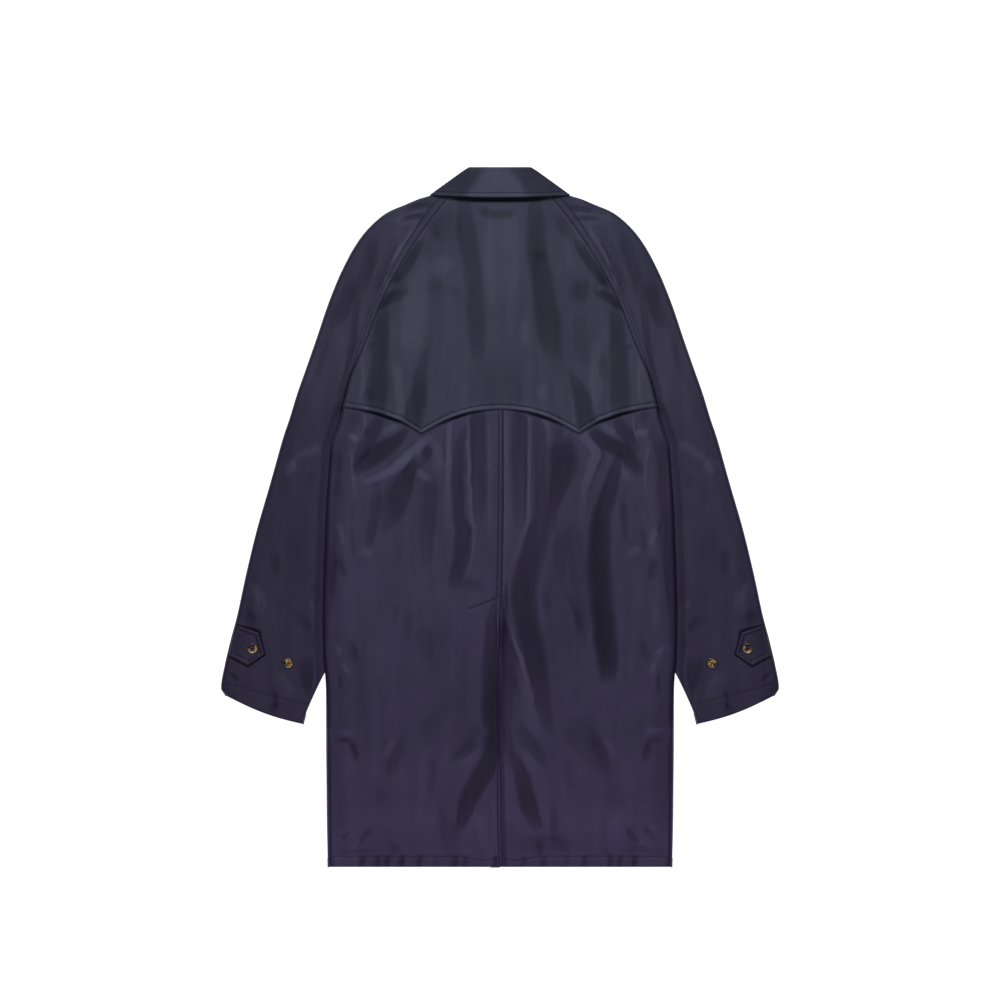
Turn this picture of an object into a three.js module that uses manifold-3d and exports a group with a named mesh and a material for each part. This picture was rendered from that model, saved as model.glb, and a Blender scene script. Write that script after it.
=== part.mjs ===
// A raglan mac coat that lies flat on its front, so that its back shows.
// Millimetres. +X is the wearer's right, +Y runs from the hem up to the collar, +Z is up.
// The origin is on the surface that the coat lies on, under the middle of the coat.
import * as THREE from "three";
import { mergeVertices } from "three/addons/utils/BufferGeometryUtils.js";
import Module from "manifold-3d";

// ---- Driving sizes ----------------------------------------------------------------------------

const LENGTH = 1000; // collar fold to hem
const HEM_Y = -LENGTH / 2;
const COLLAR_Y = LENGTH / 2;
const WALL = 1.2; // the cloth
const SEAM_GAP = 0.3; // between two pieces that are sewn together
const PLY = WALL + SEAM_GAP; // from one layer to the layer that lies on it
const SEAM_STEP = 0.45; // the same gap, measured along X across a slanted seam

const UNDERARM_Y = 129; // the raglan seam starts here
const TUCK_Y = 105; // below here the sleeve lies under the body
const EMERGE_Y = -240; // here the sleeve comes out from under the body
const FLAT_Y = -300; // below here the body lies on the table again
const TUCK_WIDTH = 55; // width of the body that lies on a sleeve
const TUCK_SLOPE = 25; // width over which the front panel comes down from the sleeve
const LAP_AIR = 0.1; // more than the seam gap, where a whole panel lies on another
const SLEEVE_STACK = 2 * PLY + LAP_AIR; // two layers of sleeve under the body

const BODY_AIR = 3.4; // loose height of the back over the fronts
const BODY_AIR_ON_SLEEVE = 1.1; // and the more where it lies on a sleeve
const SIDE_ROLL = 10; // width over which a side fold rounds over
const RAGLAN_ROLL = 25; // width over which the back rises from the raglan seam
const HEM_ROLL = 25; // length over which the back comes down to the hem
const HEM_FOLD = 6; // the hem's own turned edge, where that roll already has some height
const SLEEVE_AIR = 2.3;
const SLEEVE_ROLL = 12;
const SLEEVE_FILL = 30; // width over which the sleeve fills out from the body's edge
const RAGLAN_RISE = 1.5; // the seam allowances lie under the sleeve's edge
const YOKE_STEP = WALL + 0.7; // the yoke hangs free over the back
const YOKE_COVER_Y = 110; // from here up the back lies smooth under the yoke
const YOKE_HANG = 100; // rows of the yoke follow its edge up to this far above it
const FOLD_FADE = 30; // width over which folds fade towards a seam or side fold

const FRONT_OVERLAP = 35; // each front passes the centre by this much
const NECK_BACK_Y = 466;
const NECK_FRONT_Y = 392;
const NECK_SIDE_X = 88; // where the front neckline meets the raglan seam
const NECK_SIDE_Y = 440;
const NECK_LIFT = 1.8; // the fronts lie on the collar's points
const NECK_REACH_X = 110; // as far as these
const NECK_REACH_Y = 340;
const NECK_FADE = 30;
const NECKLINE_START_Y = 150; // rows of the fronts bend to the neckline from here up
const NECKLINE_BOW = 1.6;
const YOKE_SIDE_Y = 157; // where the yoke's free edge meets the raglan seam

const VENT_TOP_Y = -114;
const VENT_SLANT_Y = -131; // inner end of the underlap's slanted top
const UNDERLAP_X = -42;
const UNDERLAP_LOW = 3.2; // height of the underlap's lower face
const VENT_SETTLE = 35; // above the vent the backs settle into each other over this length
const LAP_START = 4; // from here a panel comes down from the other's overlap
const LAP_FADE = 20; // and it is down here

const CENTRE_Z = 4; // mid-height of the collar where it turns round the neck
const TAB_LIFT = 0.6; // tab over sleeve
const STAND_GAP = 0.6; // between the stand and the leaf, at the collar's roll
const BUTTON_RADIUS = 8;
const BUTTON_HEIGHT = 3;
const BUTTON_LIFT = 0.3;
const HOLE_RADIUS = 1;
const HOLE_OFFSET = 1.75;
const BUTTON_SIDES = 24;
const HOLE_SIDES = 8;
const WELD = 1e-4; // points nearer than this are one point

// ---- Section tables ---------------------------------------------------------------------------
// Distances in X are from the coat's centre line, so a row serves both sides.

// The body: its side fold from the hem to the underarm, then the raglan seam up to the neck.
// The fronts lie flat, so they leave out the rows that only the back needs.
const BODY = [
  { y: HEM_Y, half: 246 },
  { y: -470, half: 246.8, backOnly: true },
  { y: -430, half: 247.6, backOnly: true },
  { y: -380, half: 248 },
  { y: -340, half: 248.4, backOnly: true },
  { y: FLAT_Y, half: 248.6 },
  { y: -270, half: 248.6, backOnly: true },
  { y: EMERGE_Y, half: 249 },
  { y: -205, half: 251.6 },
  { y: -170, half: 252.8, backOnly: true },
  { y: VENT_SLANT_Y, half: 253 },
  { y: VENT_TOP_Y, half: 252.6, backOnly: true },
  { y: -85, half: 252, backOnly: true },
  { y: -50, half: 250.4 },
  { y: -15, half: 249.2, backOnly: true },
  { y: 20, half: 247.6 },
  { y: 55, half: 245, backOnly: true },
  { y: 82, half: 243 },
  { y: TUCK_Y, half: 240.6 },
  { y: UNDERARM_Y, half: 233 },
  { y: YOKE_SIDE_Y, half: 224 },
  { y: 199, half: 213 },
  { y: 240, half: 197 },
  { y: 269, half: 185 },
  { y: 298, half: 174 },
  { y: 332, half: 158 },
  { y: 359, half: 143 },
  { y: 386, half: 127 },
  { y: 416, half: 106 },
  { y: NECK_SIDE_Y, half: NECK_SIDE_X },
  { y: 456, half: 75 },
  { y: NECK_BACK_Y, half: 67 },
];

// The sleeve's free part, cuff first: the inner edge, partly under the body, and the overarm seam.
const SLEEVE = [
  { innerX: 281, innerY: -296, outerX: 390, outerY: -255, sag: 5 },
  { innerX: 276, innerY: -278, outerX: 398.6, outerY: -243, sag: 4 },
  { innerX: 259, innerY: -240, outerX: 393.5, outerY: -212, sag: 0 },
  { innerX: 240, innerY: -202, outerX: 385, outerY: -176, sag: 0 },
  { innerX: 220, innerY: -155, outerX: 375, outerY: -138, sag: 0 },
  { innerX: 208, innerY: -98, outerX: 363, outerY: -82, sag: 0 },
  { innerX: 206, innerY: -40, outerX: 347.5, outerY: -18, sag: 0 },
  { innerX: 216, innerY: 18, outerX: 329, outerY: 46, sag: 0 },
  { innerX: 232, innerY: 70, outerX: 311, outerY: 110, sag: 0 },
];

// The overarm seam opposite each height of the raglan seam.
const SHOULDER = [
  { y: TUCK_Y, outerX: 301, outerY: 140 },
  { y: UNDERARM_Y, outerX: 290, outerY: 176 },
  { y: YOKE_SIDE_Y, outerX: 278, outerY: 210 },
  { y: 199, outerX: 262, outerY: 256 },
  { y: 240, outerX: 249, outerY: 295 },
  { y: 269, outerX: 238.5, outerY: 323 },
  { y: 298, outerX: 226.5, outerY: 351 },
  { y: 332, outerX: 208, outerY: 386 },
  { y: 359, outerX: 188, outerY: 412.5 },
  { y: 386, outerX: 163, outerY: 434 },
  { y: 416, outerX: 134, outerY: 447 },
];
const SHOULDER_BACK_END = [
  { y: NECK_SIDE_Y, outerX: 116, outerY: 454.5 },
  { y: 456, outerX: 101.5, outerY: 458.9 },
  { y: NECK_BACK_Y, outerX: 84, outerY: 466.3 },
];
const SHOULDER_FRONT_END = [{ y: NECK_SIDE_Y, outerX: 101.5, outerY: 458.9 }];
const FRONT_SLEEVE_TOP = { innerX: 83, innerY: 448, outerX: 84, outerY: 466.3, sag: 0 };

// The yoke's free lower edge, from the centre to the raglan seam, with its point at x = 113.
const YOKE_EDGE = [
  { x: 0, y: 154 },
  { x: 19, y: 153 },
  { x: 38, y: 150.6 },
  { x: 69, y: 142 },
  { x: 93, y: 130 },
  { x: 113, y: 119 },
  { x: 130, y: 130 },
  { x: 154, y: 142 },
  { x: 189, y: 152 },
  { x: 224, y: YOKE_SIDE_Y },
];

// The centre back seam, and below the vent's top the left back's free edge.
const CENTRE_SEAM = [
  { y: HEM_Y, x: -0.7 },
  { y: -304, x: -3.4 },
  { y: -240, x: -3 },
  { y: VENT_TOP_Y, x: 1 },
  { y: NECK_BACK_Y, x: 1 },
];

// Soft folds of the back below the yoke: a line from start to end, its width, and its rise.
const BACK_FOLDS = [
  { x0: -100, y0: 108, x1: -196, y1: 47, width: 20, rise: 2.2 },
  { x0: -199, y0: 106, x1: -150, y1: 62, width: 24, rise: -1.4 },
  { x0: -147, y0: 60, x1: -103, y1: 13, width: 26, rise: -1.4 },
  { x0: -62, y0: 99, x1: -60, y1: -90, width: 22, rise: -1.2 },
  { x0: -38, y0: 99, x1: -40, y1: -90, width: 20, rise: 1.4 },
  { x0: 26, y0: 146, x1: 26, y1: -19, width: 18, rise: -1 },
  { x0: 44, y0: 147, x1: 46, y1: -21, width: 20, rise: 1.2 },
  { x0: 89, y0: 101, x1: 84, y1: 24, width: 34, rise: -1.6 },
  { x0: 118, y0: 90, x1: 96, y1: -20, width: 22, rise: 1.6 },
  { x0: 161, y0: 81, x1: 123, y1: -56, width: 26, rise: -2 },
  { x0: 123, y0: -56, x1: 157, y1: -224, width: 26, rise: -2 },
  { x0: 186, y0: 60, x1: 152, y1: -60, width: 26, rise: 1.8 },
  { x0: 152, y0: -60, x1: 186, y1: -200, width: 26, rise: 1.6 },
  { x0: 48, y0: -60, x1: 66, y1: -210, width: 26, rise: -1.4 },
  { x0: 20, y0: -125, x1: 58, y1: -262, width: 20, rise: 2 },
  { x0: -24, y0: -170, x1: -24, y1: -359, width: 26, rise: -1.2 },
  { x0: -24, y0: -359, x1: -64, y1: -437, width: 26, rise: -1.2 },
  { x0: 27, y0: -369, x1: 58, y1: -434, width: 26, rise: -1.2 },
  { x0: -120, y0: -60, x1: -110, y1: -300, width: 40, rise: 1.6 },
  { x0: -190, y0: -40, x1: -176, y1: -260, width: 30, rise: -1.2 },
  { x0: 110, y0: -260, x1: 120, y1: -440, width: 40, rise: 1.6 },
];

// Soft folds of the yoke. They only rise, because the back lies right under it.
const YOKE_FOLDS = [
  { x0: 0, y0: 440, x1: 2, y1: 300, width: 34, rise: 1.8 },
  { x0: -125, y0: 353, x1: -125, y1: 180, width: 36, rise: 1.6 },
  { x0: 131, y0: 353, x1: 128, y1: 180, width: 32, rise: 1.6 },
  { x0: -60, y0: 300, x1: -52, y1: 180, width: 34, rise: 0.9 },
  { x0: 60, y0: 250, x1: 40, y1: 170, width: 34, rise: 0.9 },
];

// The collar leaf, from the centre back round the neck to its point. Roll and edge are its two
// long sides in plan, height is its outer face's distance from mid-height, turn is the way that
// face looks (0 up, 90 sideways, 180 down), depth is the thickness of its roll, and crown its bow.
const LEAF = [
  { rollX: 0, rollY: COLLAR_Y, edgeX: 0, edgeY: 456.4, height: 6.2, turn: 0, depth: 4.4, crown: 1.8 },
  { rollX: 22, rollY: COLLAR_Y, edgeX: 46, edgeY: 457.2, height: 6.2, turn: 0, depth: 4.4, crown: 1.6 },
  { rollX: 38, rollY: COLLAR_Y, edgeX: 80, edgeY: 459, height: 4.8, turn: 0, depth: 3.8, crown: 1.2 },
  { rollX: 44.2, rollY: 496.7, edgeX: 99.3, edgeY: 459.3, height: 4, turn: 0, depth: 2.9, crown: 0.4 },
  { rollX: 44.2, rollY: 496.7, edgeX: 99.3, edgeY: 459.3, height: 4, turn: 60, depth: 2.9, crown: 0 },
  { rollX: 44.2, rollY: 496.7, edgeX: 99.3, edgeY: 459.3, height: 4, turn: 120, depth: 2.9, crown: 0 },
  { rollX: 44.2, rollY: 496.7, edgeX: 99.3, edgeY: 459.3, height: 4, turn: 180, depth: 2.9, crown: 0 },
  { rollX: 37, rollY: 468, edgeX: 96, edgeY: 426, height: 4, turn: 180, depth: 3, crown: 0 },
  { rollX: 25, rollY: 436, edgeX: 82, edgeY: 388, height: 4, turn: 180, depth: 3, crown: 0 },
  { rollX: 7, rollY: 403, edgeX: 62, edgeY: 350, height: 4, turn: 180, depth: 3, crown: 0 },
];

// The leaf's section: how far along it from the roll (share of its width, plus millimetres),
// how deep in its roll (share of the depth), and its share of the crown.
const LEAF_SECTION = [
  { share: 0, step: 6, sink: 1, bow: 0 },
  { share: 0, step: 1.6, sink: 0.92, bow: 0 },
  { share: 0, step: 0, sink: 0.5, bow: 0 },
  { share: 0, step: 1.8, sink: 0.08, bow: 0.1 },
  { share: 0.2, step: 0, sink: 0, bow: 0.9 },
  { share: 0.55, step: 0, sink: 0, bow: 1 },
  { share: 1, step: 0, sink: 0, bow: 0 },
];

// The stand's neck seam opposite each row of the leaf: in plan, and the height of its outer face.
const STAND_SEAM = [
  { x: 0, y: 467.2, height: 3 },
  { x: 38, y: 467.2, height: 3 },
  { x: 66, y: 467.2, height: 2.6 },
  { x: 83.2, y: 467, height: 2.1 },
  { x: 83.2, y: 467, height: 2.1 },
  { x: 83.2, y: 467, height: 2.1 },
  { x: 83.2, y: 467, height: 2.1 },
  { x: 81.6, y: 447.5, height: 2.2 },
  { x: 60, y: 407.6, height: 2.2 },
  { x: 15, y: 392.6, height: 2.2 },
];

// The cuff tab: its two long edges from the overarm seam to its blunt point.
const TAB_EDGES = [
  { upperX: 376.5, upperY: -154, lowerX: 386, lowerY: -198.3 },
  { upperX: 361, upperY: -159.4, lowerX: 373.3, lowerY: -205.6 },
  { upperX: 345, upperY: -165.4, lowerX: 360, lowerY: -212.9 },
  { upperX: 340.5, upperY: -180.8, lowerX: 348, lowerY: -204.7 },
  { upperX: 336.2, upperY: -195.4, lowerX: 337, lowerY: -197 },
];

const BUTTONS = [
  { name: "tab_button", x: 354, y: -188, onTab: true },
  { name: "sleeve_button", x: 303, y: -209, onTab: false },
];

// ---- Materials --------------------------------------------------------------------------------

const cloth = (color) =>
  new THREE.MeshStandardMaterial({ color, roughness: 0.62, metalness: 0, side: THREE.DoubleSide });
const shellCloth = cloth(0x2c2a3a);
const sleeveCloth = cloth(0x292735);
const collarCloth = cloth(0x35333f);
const horn = new THREE.MeshStandardMaterial({ color: 0xa87a34, roughness: 0.28, metalness: 0 });

// ---- Small helpers ----------------------------------------------------------------------------

const lerp = (a, b, t) => a + (b - a) * t;
const clamp01 = (t) => Math.min(1, Math.max(0, t));
const ease = (from, to, value) => {
  const t = clamp01((value - from) / (to - from));
  return t * t * (3 - 2 * t);
};
const quarterRound = (t) => Math.sqrt(1 - (1 - clamp01(t)) ** 2);

// The value of one column of a table where its key column has the given value, rows in order.
function lookUp(table, key, column, value) {
  const at = table.findIndex((row) => row[key] >= value);
  if (at < 0) return table[table.length - 1][column];
  if (at === 0) return table[0][column];
  const before = table[at - 1];
  const after = table[at];
  return lerp(before[column], after[column], (value - before[key]) / (after[key] - before[key]));
}

const bodyHalf = (y) => lookUp(BODY, "y", "half", y);
const centreSeam = (y) => lookUp(CENTRE_SEAM, "y", "x", y);
const yokeEdge = (x) => lookUp(YOKE_EDGE, "x", "y", Math.abs(x));

// Height that a table of folds adds at a point: each fold fades across its width and at its ends.
function foldHeight(folds, x, y) {
  let height = 0;
  for (const { x0, y0, x1, y1, width, rise } of folds) {
    const along = new THREE.Vector2(x1 - x0, y1 - y0);
    const from = new THREE.Vector2(x - x0, y - y0);
    const share = from.dot(along) / along.lengthSq();
    const across = from.sub(along.multiplyScalar(clamp01(share))).length() / width;
    height += rise * Math.exp(-2 * across * across);
  }
  return height;
}

// ---- Heights of the layers --------------------------------------------------------------------

// The part of the body that lies on a sleeve: 1 there and 0 elsewhere.
function overSleeve(x, y) {
  const inset = bodyHalf(y) - Math.abs(x);
  const across = 1 - clamp01((inset - TUCK_WIDTH) / TUCK_SLOPE);
  const up = clamp01((y - FLAT_Y) / (EMERGE_Y - FLAT_Y));
  const down = clamp01((UNDERARM_Y - y) / (UNDERARM_Y - TUCK_Y));
  return across * up * down;
}

// The fronts and the front sleeves lie on the collar's points near the neck.
function overCollar(x, y) {
  const up = ease(NECK_REACH_Y - NECK_FADE, NECK_REACH_Y, y);
  return NECK_LIFT * up * (1 - ease(NECK_REACH_X, NECK_REACH_X + NECK_FADE, Math.abs(x)));
}

// Lower face of a front panel.
const frontLow = (x, y) => SLEEVE_STACK * overSleeve(x, y) + overCollar(x, y);

// Lower face of the back panels: down at the side folds, the raglan seams and the hem.
function backLow(x, y) {
  const inset = bodyHalf(y) - Math.abs(x);
  const roll = y > TUCK_Y ? RAGLAN_ROLL : SIDE_ROLL;
  const edge = frontLow(Math.sign(x) * bodyHalf(y), y) + PLY;
  const plateau = PLY + BODY_AIR + BODY_AIR_ON_SLEEVE * overSleeve(x, y);
  const rounded = lerp(edge, Math.max(plateau, edge), quarterRound(inset / roll));
  const hemEdge = PLY + PLY * (1 - ease(FRONT_OVERLAP, 2 * FRONT_OVERLAP, Math.abs(x)));
  const settled = lerp(hemEdge, rounded, quarterRound((y - HEM_Y + HEM_FOLD) / HEM_ROLL));
  const open = ease(HEM_Y, HEM_Y + FOLD_FADE, y) * (1 - ease(YOKE_COVER_Y, YOKE_SIDE_Y, y));
  const free = open * ease(0, FOLD_FADE, inset);
  return Math.max(settled, settled + free * foldHeight(BACK_FOLDS, x, y), 0);
}

function yokeLow(x, y) {
  const inset = bodyHalf(y) - Math.abs(x);
  const free = ease(0, FOLD_FADE, inset) * (1 - ease(NECK_BACK_Y - FOLD_FADE, NECK_BACK_Y, y));
  return backLow(x, y) + YOKE_STEP + free * foldHeight(YOKE_FOLDS, x, y);
}

// Lower face of the sleeve's back half: flat where it is tucked in, full in the middle.
function sleeveLow(x, y, toOverarm) {
  const outside = Math.abs(x) - bodyHalf(y);
  const full = ease(SLEEVE_ROLL, SLEEVE_ROLL + SLEEVE_FILL, outside);
  const seam = (1 - ease(0, SLEEVE_ROLL + SLEEVE_FILL, outside)) * ease(TUCK_Y, UNDERARM_Y, y);
  const rise = SLEEVE_AIR * full + RAGLAN_RISE * seam;
  return PLY + overCollar(x, y) + rise * quarterRound(toOverarm / SLEEVE_ROLL);
}

// ---- Walls ------------------------------------------------------------------------------------

// A closed wall between two grids of points, faces pointing out.
function wallBetween(lower, upper) {
  const columns = lower[0].length;
  const rows = lower.length;
  const positions = [...lower.flat(), ...upper.flat()].flatMap((p) => [p.x, p.y, p.z]);
  const top = columns * rows;
  const index = [];
  const quad = (a, b, c, d) => index.push(a, b, c, a, c, d);
  for (let r = 0; r < rows - 1; r++) {
    for (let c = 0; c < columns - 1; c++) {
      const at = r * columns + c;
      quad(at, at + columns, at + columns + 1, at + 1);
      quad(top + at, top + at + 1, top + at + columns + 1, top + at + columns);
    }
  }
  for (let c = 0; c < columns - 1; c++) {
    const last = (rows - 1) * columns + c;
    quad(c, c + 1, top + c + 1, top + c);
    quad(last + 1, last, top + last, top + last + 1);
  }
  for (let r = 0; r < rows - 1; r++) {
    const left = r * columns;
    const right = left + columns - 1;
    quad(left + columns, left, top + left, top + left + columns);
    quad(right, right + columns, top + right + columns, top + right);
  }
  const geometry = new THREE.BufferGeometry();
  geometry.setAttribute("position", new THREE.Float32BufferAttribute(positions, 3));
  geometry.setIndex(signedVolume(positions, index) < 0 ? index.reverse() : index);
  geometry.computeVertexNormals();
  return geometry;
}

function signedVolume(positions, index) {
  const corner = (i) => new THREE.Vector3().fromArray(positions, 3 * index[i]);
  let volume = 0;
  for (let i = 0; i < index.length; i += 3) {
    volume += corner(i).dot(corner(i + 1).cross(corner(i + 2))) / 6;
  }
  return volume;
}

// A wall that lies: the grid is its lower face, and the upper face is the same points moved up.
function layer(lower) {
  const upper = lower.map((row) => row.map((p) => p.clone().setZ(p.z + WALL)));
  return wallBetween(lower, upper);
}

// A wall that turns over: the grid is its outer face, and the inner face lies a wall behind it.
function turnedWall(outer, behind) {
  const inner = outer.map((row, r) =>
    row.map((p, c) => {
      const alongRow = row[Math.min(c + 1, row.length - 1)].clone();
      alongRow.sub(row[Math.max(c - 1, 0)]);
      const acrossRows = outer[Math.min(r + 1, outer.length - 1)][c].clone();
      acrossRows.sub(outer[Math.max(r - 1, 0)][c]);
      const normal = alongRow.cross(acrossRows).normalize();
      return p.clone().addScaledVector(normal, behind * WALL);
    }),
  );
  return wallBetween(inner, outer);
}

function named(name, geometry, material) {
  const mesh = new THREE.Mesh(geometry, material);
  mesh.name = name;
  return mesh;
}

// ---- Body -------------------------------------------------------------------------------------

// Distances from the side fold or raglan seam of the columns near it. They shrink with the body.
const EDGE_COLUMNS = [TUCK_WIDTH + TUCK_SLOPE, TUCK_WIDTH, RAGLAN_ROLL, SIDE_ROLL, 3, 0];
const edgeScale = (half) => Math.min(1, half / lookUp(BODY, "y", "half", YOKE_SIDE_Y));

// X of each column of a body piece, on the wearer's right, from its inner edge to the side.
function columnsFrom(innerColumns, half, between) {
  const lastInner = innerColumns[innerColumns.length - 1];
  const firstEdge = half - EDGE_COLUMNS[0] * edgeScale(half);
  const middle = [];
  for (let i = 1; i <= between; i++) {
    middle.push(lerp(lastInner, firstEdge, i / (between + 1)));
  }
  return [...innerColumns, ...middle, ...EDGE_COLUMNS.map((d) => half - d * edgeScale(half))];
}

function backPiece(side) {
  const laps = side < 0;
  const grid = BODY.map(({ y, half }) => {
    const seam = centreSeam(y);
    const freeEdge = y < VENT_TOP_Y ? UNDERLAP_X : seam + SEAM_STEP;
    const inner = laps ? [-seam, LAP_FADE - seam] : [freeEdge, seam + LAP_START, seam + LAP_FADE];
    const vented = 1 - ease(VENT_TOP_Y, VENT_TOP_Y + VENT_SETTLE, y);
    return columnsFrom(inner, half, laps ? 5 : 4).map((x) => {
      let low = backLow(side * x, y);
      if (!laps) {
        low = lerp(low, UNDERLAP_LOW, vented * (1 - ease(LAP_START, LAP_FADE, x - seam)));
      } else {
        const lap = vented * (1 - ease(-UNDERLAP_X, LAP_FADE - UNDERLAP_X, x));
        low = Math.max(low, (UNDERLAP_LOW + PLY + LAP_AIR) * lap);
      }
      return new THREE.Vector3(side * x, y, low);
    });
  });
  return layer(grid);
}

function frontPiece(side) {
  const rows = BODY.filter(({ y, backOnly }) => y <= NECK_SIDE_Y && !backOnly);
  const isOver = side > 0; // the right front lies on the left one's overlap
  const grid = rows.map(({ y, half }) => {
    const neck = ease(NECKLINE_START_Y, NECK_SIDE_Y, y);
    const inner = [-FRONT_OVERLAP, FRONT_OVERLAP, FRONT_OVERLAP + LAP_FADE];
    return columnsFrom(inner, half, 1).map((x) => {
      const toSide = clamp01((x - FRONT_OVERLAP) / (NECK_SIDE_X - FRONT_OVERLAP));
      const scoop = 1 - toSide ** NECKLINE_BOW;
      const drop = (NECK_SIDE_Y - NECK_FRONT_Y) * scoop * neck;
      const fade = ease(FRONT_OVERLAP, FRONT_OVERLAP + LAP_FADE, x);
      const step = isOver ? PLY * (1 - fade) : 0;
      return new THREE.Vector3(side * x, y - drop, frontLow(side * x, y) + step);
    });
  });
  return layer(grid);
}

// The yoke runs from raglan seam to raglan seam; its rows meet the seams at the sleeves' rows.
function yokePiece() {
  const rows = BODY.filter(({ y }) => y >= YOKE_SIDE_Y);
  const full = YOKE_EDGE[YOKE_EDGE.length - 1].x;
  const outer = EDGE_COLUMNS.map((d) => full - d);
  const halfColumns = [...YOKE_EDGE.map(({ x }) => x).filter((x) => x < outer[0]), ...outer];
  const columns = [...halfColumns.slice(1).reverse().map((x) => -x), ...halfColumns];
  const grid = rows.map(({ y, half }) => {
    const hang = 1 - clamp01((y - YOKE_SIDE_Y) / YOKE_HANG);
    return columns.map((column) => {
      const x = (column / full) * half;
      const drop = (yokeEdge(column) - YOKE_SIDE_Y) * hang;
      return new THREE.Vector3(x, y + drop, yokeLow(x, y + drop));
    });
  });
  return layer(grid);
}

// ---- Sleeves ----------------------------------------------------------------------------------

function sleeveSections(end) {
  const seamRows = [...SHOULDER, ...end].map(({ y, outerX, outerY }) => ({
    innerX: bodyHalf(y) + SEAM_STEP,
    innerY: y,
    outerX,
    outerY,
    sag: 0,
  }));
  return [...SLEEVE, ...seamRows];
}

function sleeveGrid(side, sections, shares, lowOf) {
  return sections.map((row) =>
    shares.map((share) => {
      const x = lerp(row.innerX, row.outerX, share);
      const y = lerp(row.innerY, row.outerY, share) - row.sag * Math.sin(Math.PI * share);
      const width = Math.hypot(row.outerX - row.innerX, row.outerY - row.innerY);
      return new THREE.Vector3(side * x, y, lowOf(side * x, y, (1 - share) * width));
    }),
  );
}

const BACK_SHARES = [0, 0.12, 0.3, 0.5, 0.7, 0.88, 0.97, 1];
const FRONT_SHARES = [0, 0.35, 0.7, 1];

const sleeveBack = (side) =>
  layer(sleeveGrid(side, sleeveSections(SHOULDER_BACK_END), BACK_SHARES, sleeveLow));
const sleeveFront = (side) =>
  layer(
    sleeveGrid(
      side,
      [...sleeveSections(SHOULDER_FRONT_END), FRONT_SLEEVE_TOP],
      FRONT_SHARES,
      overCollar,
    ),
  );

// ---- Collar -----------------------------------------------------------------------------------

// Each row of the leaf's table as a frame: its roll, the way to its edge, and the way it faces.
function leafFrame(row, side) {
  const roll = new THREE.Vector3(side * row.rollX, row.rollY, CENTRE_Z);
  const edge = new THREE.Vector3(side * row.edgeX, row.edgeY, CENTRE_Z);
  const width = edge.distanceTo(roll);
  const along = edge.sub(roll).normalize();
  const sideways = new THREE.Vector3(-along.y * side, along.x * side, 0);
  const turn = THREE.MathUtils.degToRad(row.turn);
  const facing = new THREE.Vector3(0, 0, Math.cos(turn)).addScaledVector(sideways, Math.sin(turn));
  return { roll, along, facing, width, row };
}

// The stations from the left point round the neck to the right point.
function roundTheNeck(pick) {
  const half = LEAF.map((row, i) => ({ row, i }));
  const left = half.slice(1).reverse().map(({ row, i }) => pick(row, -1, i));
  return [...left, ...half.map(({ row, i }) => pick(row, 1, i))];
}

function collarLeaf() {
  const stations = roundTheNeck((row, side) => {
    const { roll, along, facing, width } = leafFrame(row, side);
    return LEAF_SECTION.map(({ share, step, sink, bow }) => {
      const rise = row.height - sink * row.depth + bow * row.crown;
      return roll
        .clone()
        .addScaledVector(along, share * width + step)
        .addScaledVector(facing, rise);
    });
  });
  return turnedWall(stations, -1);
}

function collarStand() {
  const lip = LEAF_SECTION[0].step + STAND_GAP;
  const stations = roundTheNeck((row, side, i) => {
    const { roll, along, facing } = leafFrame(row, side);
    const top = roll
      .clone()
      .addScaledVector(along, lip)
      .addScaledVector(facing, row.height - row.depth + WALL);
    const seam = new THREE.Vector3(side * STAND_SEAM[i].x, STAND_SEAM[i].y, CENTRE_Z);
    seam.addScaledVector(facing, STAND_SEAM[i].height);
    return [top, top.clone().lerp(seam, 0.5), seam];
  });
  return turnedWall(stations, -1);
}

// ---- Cuff tabs and buttons --------------------------------------------------------------------

// How far a point on the cuff is from the overarm seam.
function toOverarm(x, y) {
  const at = SLEEVE.findIndex((row) => row.outerY > y);
  const below = SLEEVE[at - 1];
  const above = SLEEVE[at];
  const share = (y - below.outerY) / (above.outerY - below.outerY);
  return Math.max(0, lerp(below.outerX, above.outerX, share) - Math.abs(x));
}

const sleeveTop = (x, y) => sleeveLow(x, y, toOverarm(x, y)) + WALL;

function cuffTab(side) {
  const across = [0, 0.25, 0.5, 0.75, 1];
  const grid = TAB_EDGES.map(({ upperX, upperY, lowerX, lowerY }) =>
    across.map((share) => {
      const x = lerp(upperX, lowerX, share);
      const y = lerp(upperY, lowerY, share);
      return new THREE.Vector3(side * x, y, sleeveTop(side * x, y) + TAB_LIFT);
    }),
  );
  return layer(grid);
}

const wasm = await Module();
wasm.setup();

function toSolid(geometry) {
  const bare = new THREE.BufferGeometry();
  bare.setAttribute("position", geometry.getAttribute("position"));
  bare.setIndex(geometry.index);
  const merged = mergeVertices(bare, WELD);
  return new wasm.Manifold(
    new wasm.Mesh({
      numProp: 3,
      vertProperties: merged.attributes.position.array,
      triVerts: new Uint32Array(merged.index.array),
    }),
  );
}

function toGeometry(solid) {
  const mesh = solid.getMesh();
  const geometry = new THREE.BufferGeometry();
  geometry.setAttribute("position", new THREE.BufferAttribute(mesh.vertProperties, 3));
  geometry.setIndex(new THREE.BufferAttribute(mesh.triVerts, 1));
  return geometry;
}

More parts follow.
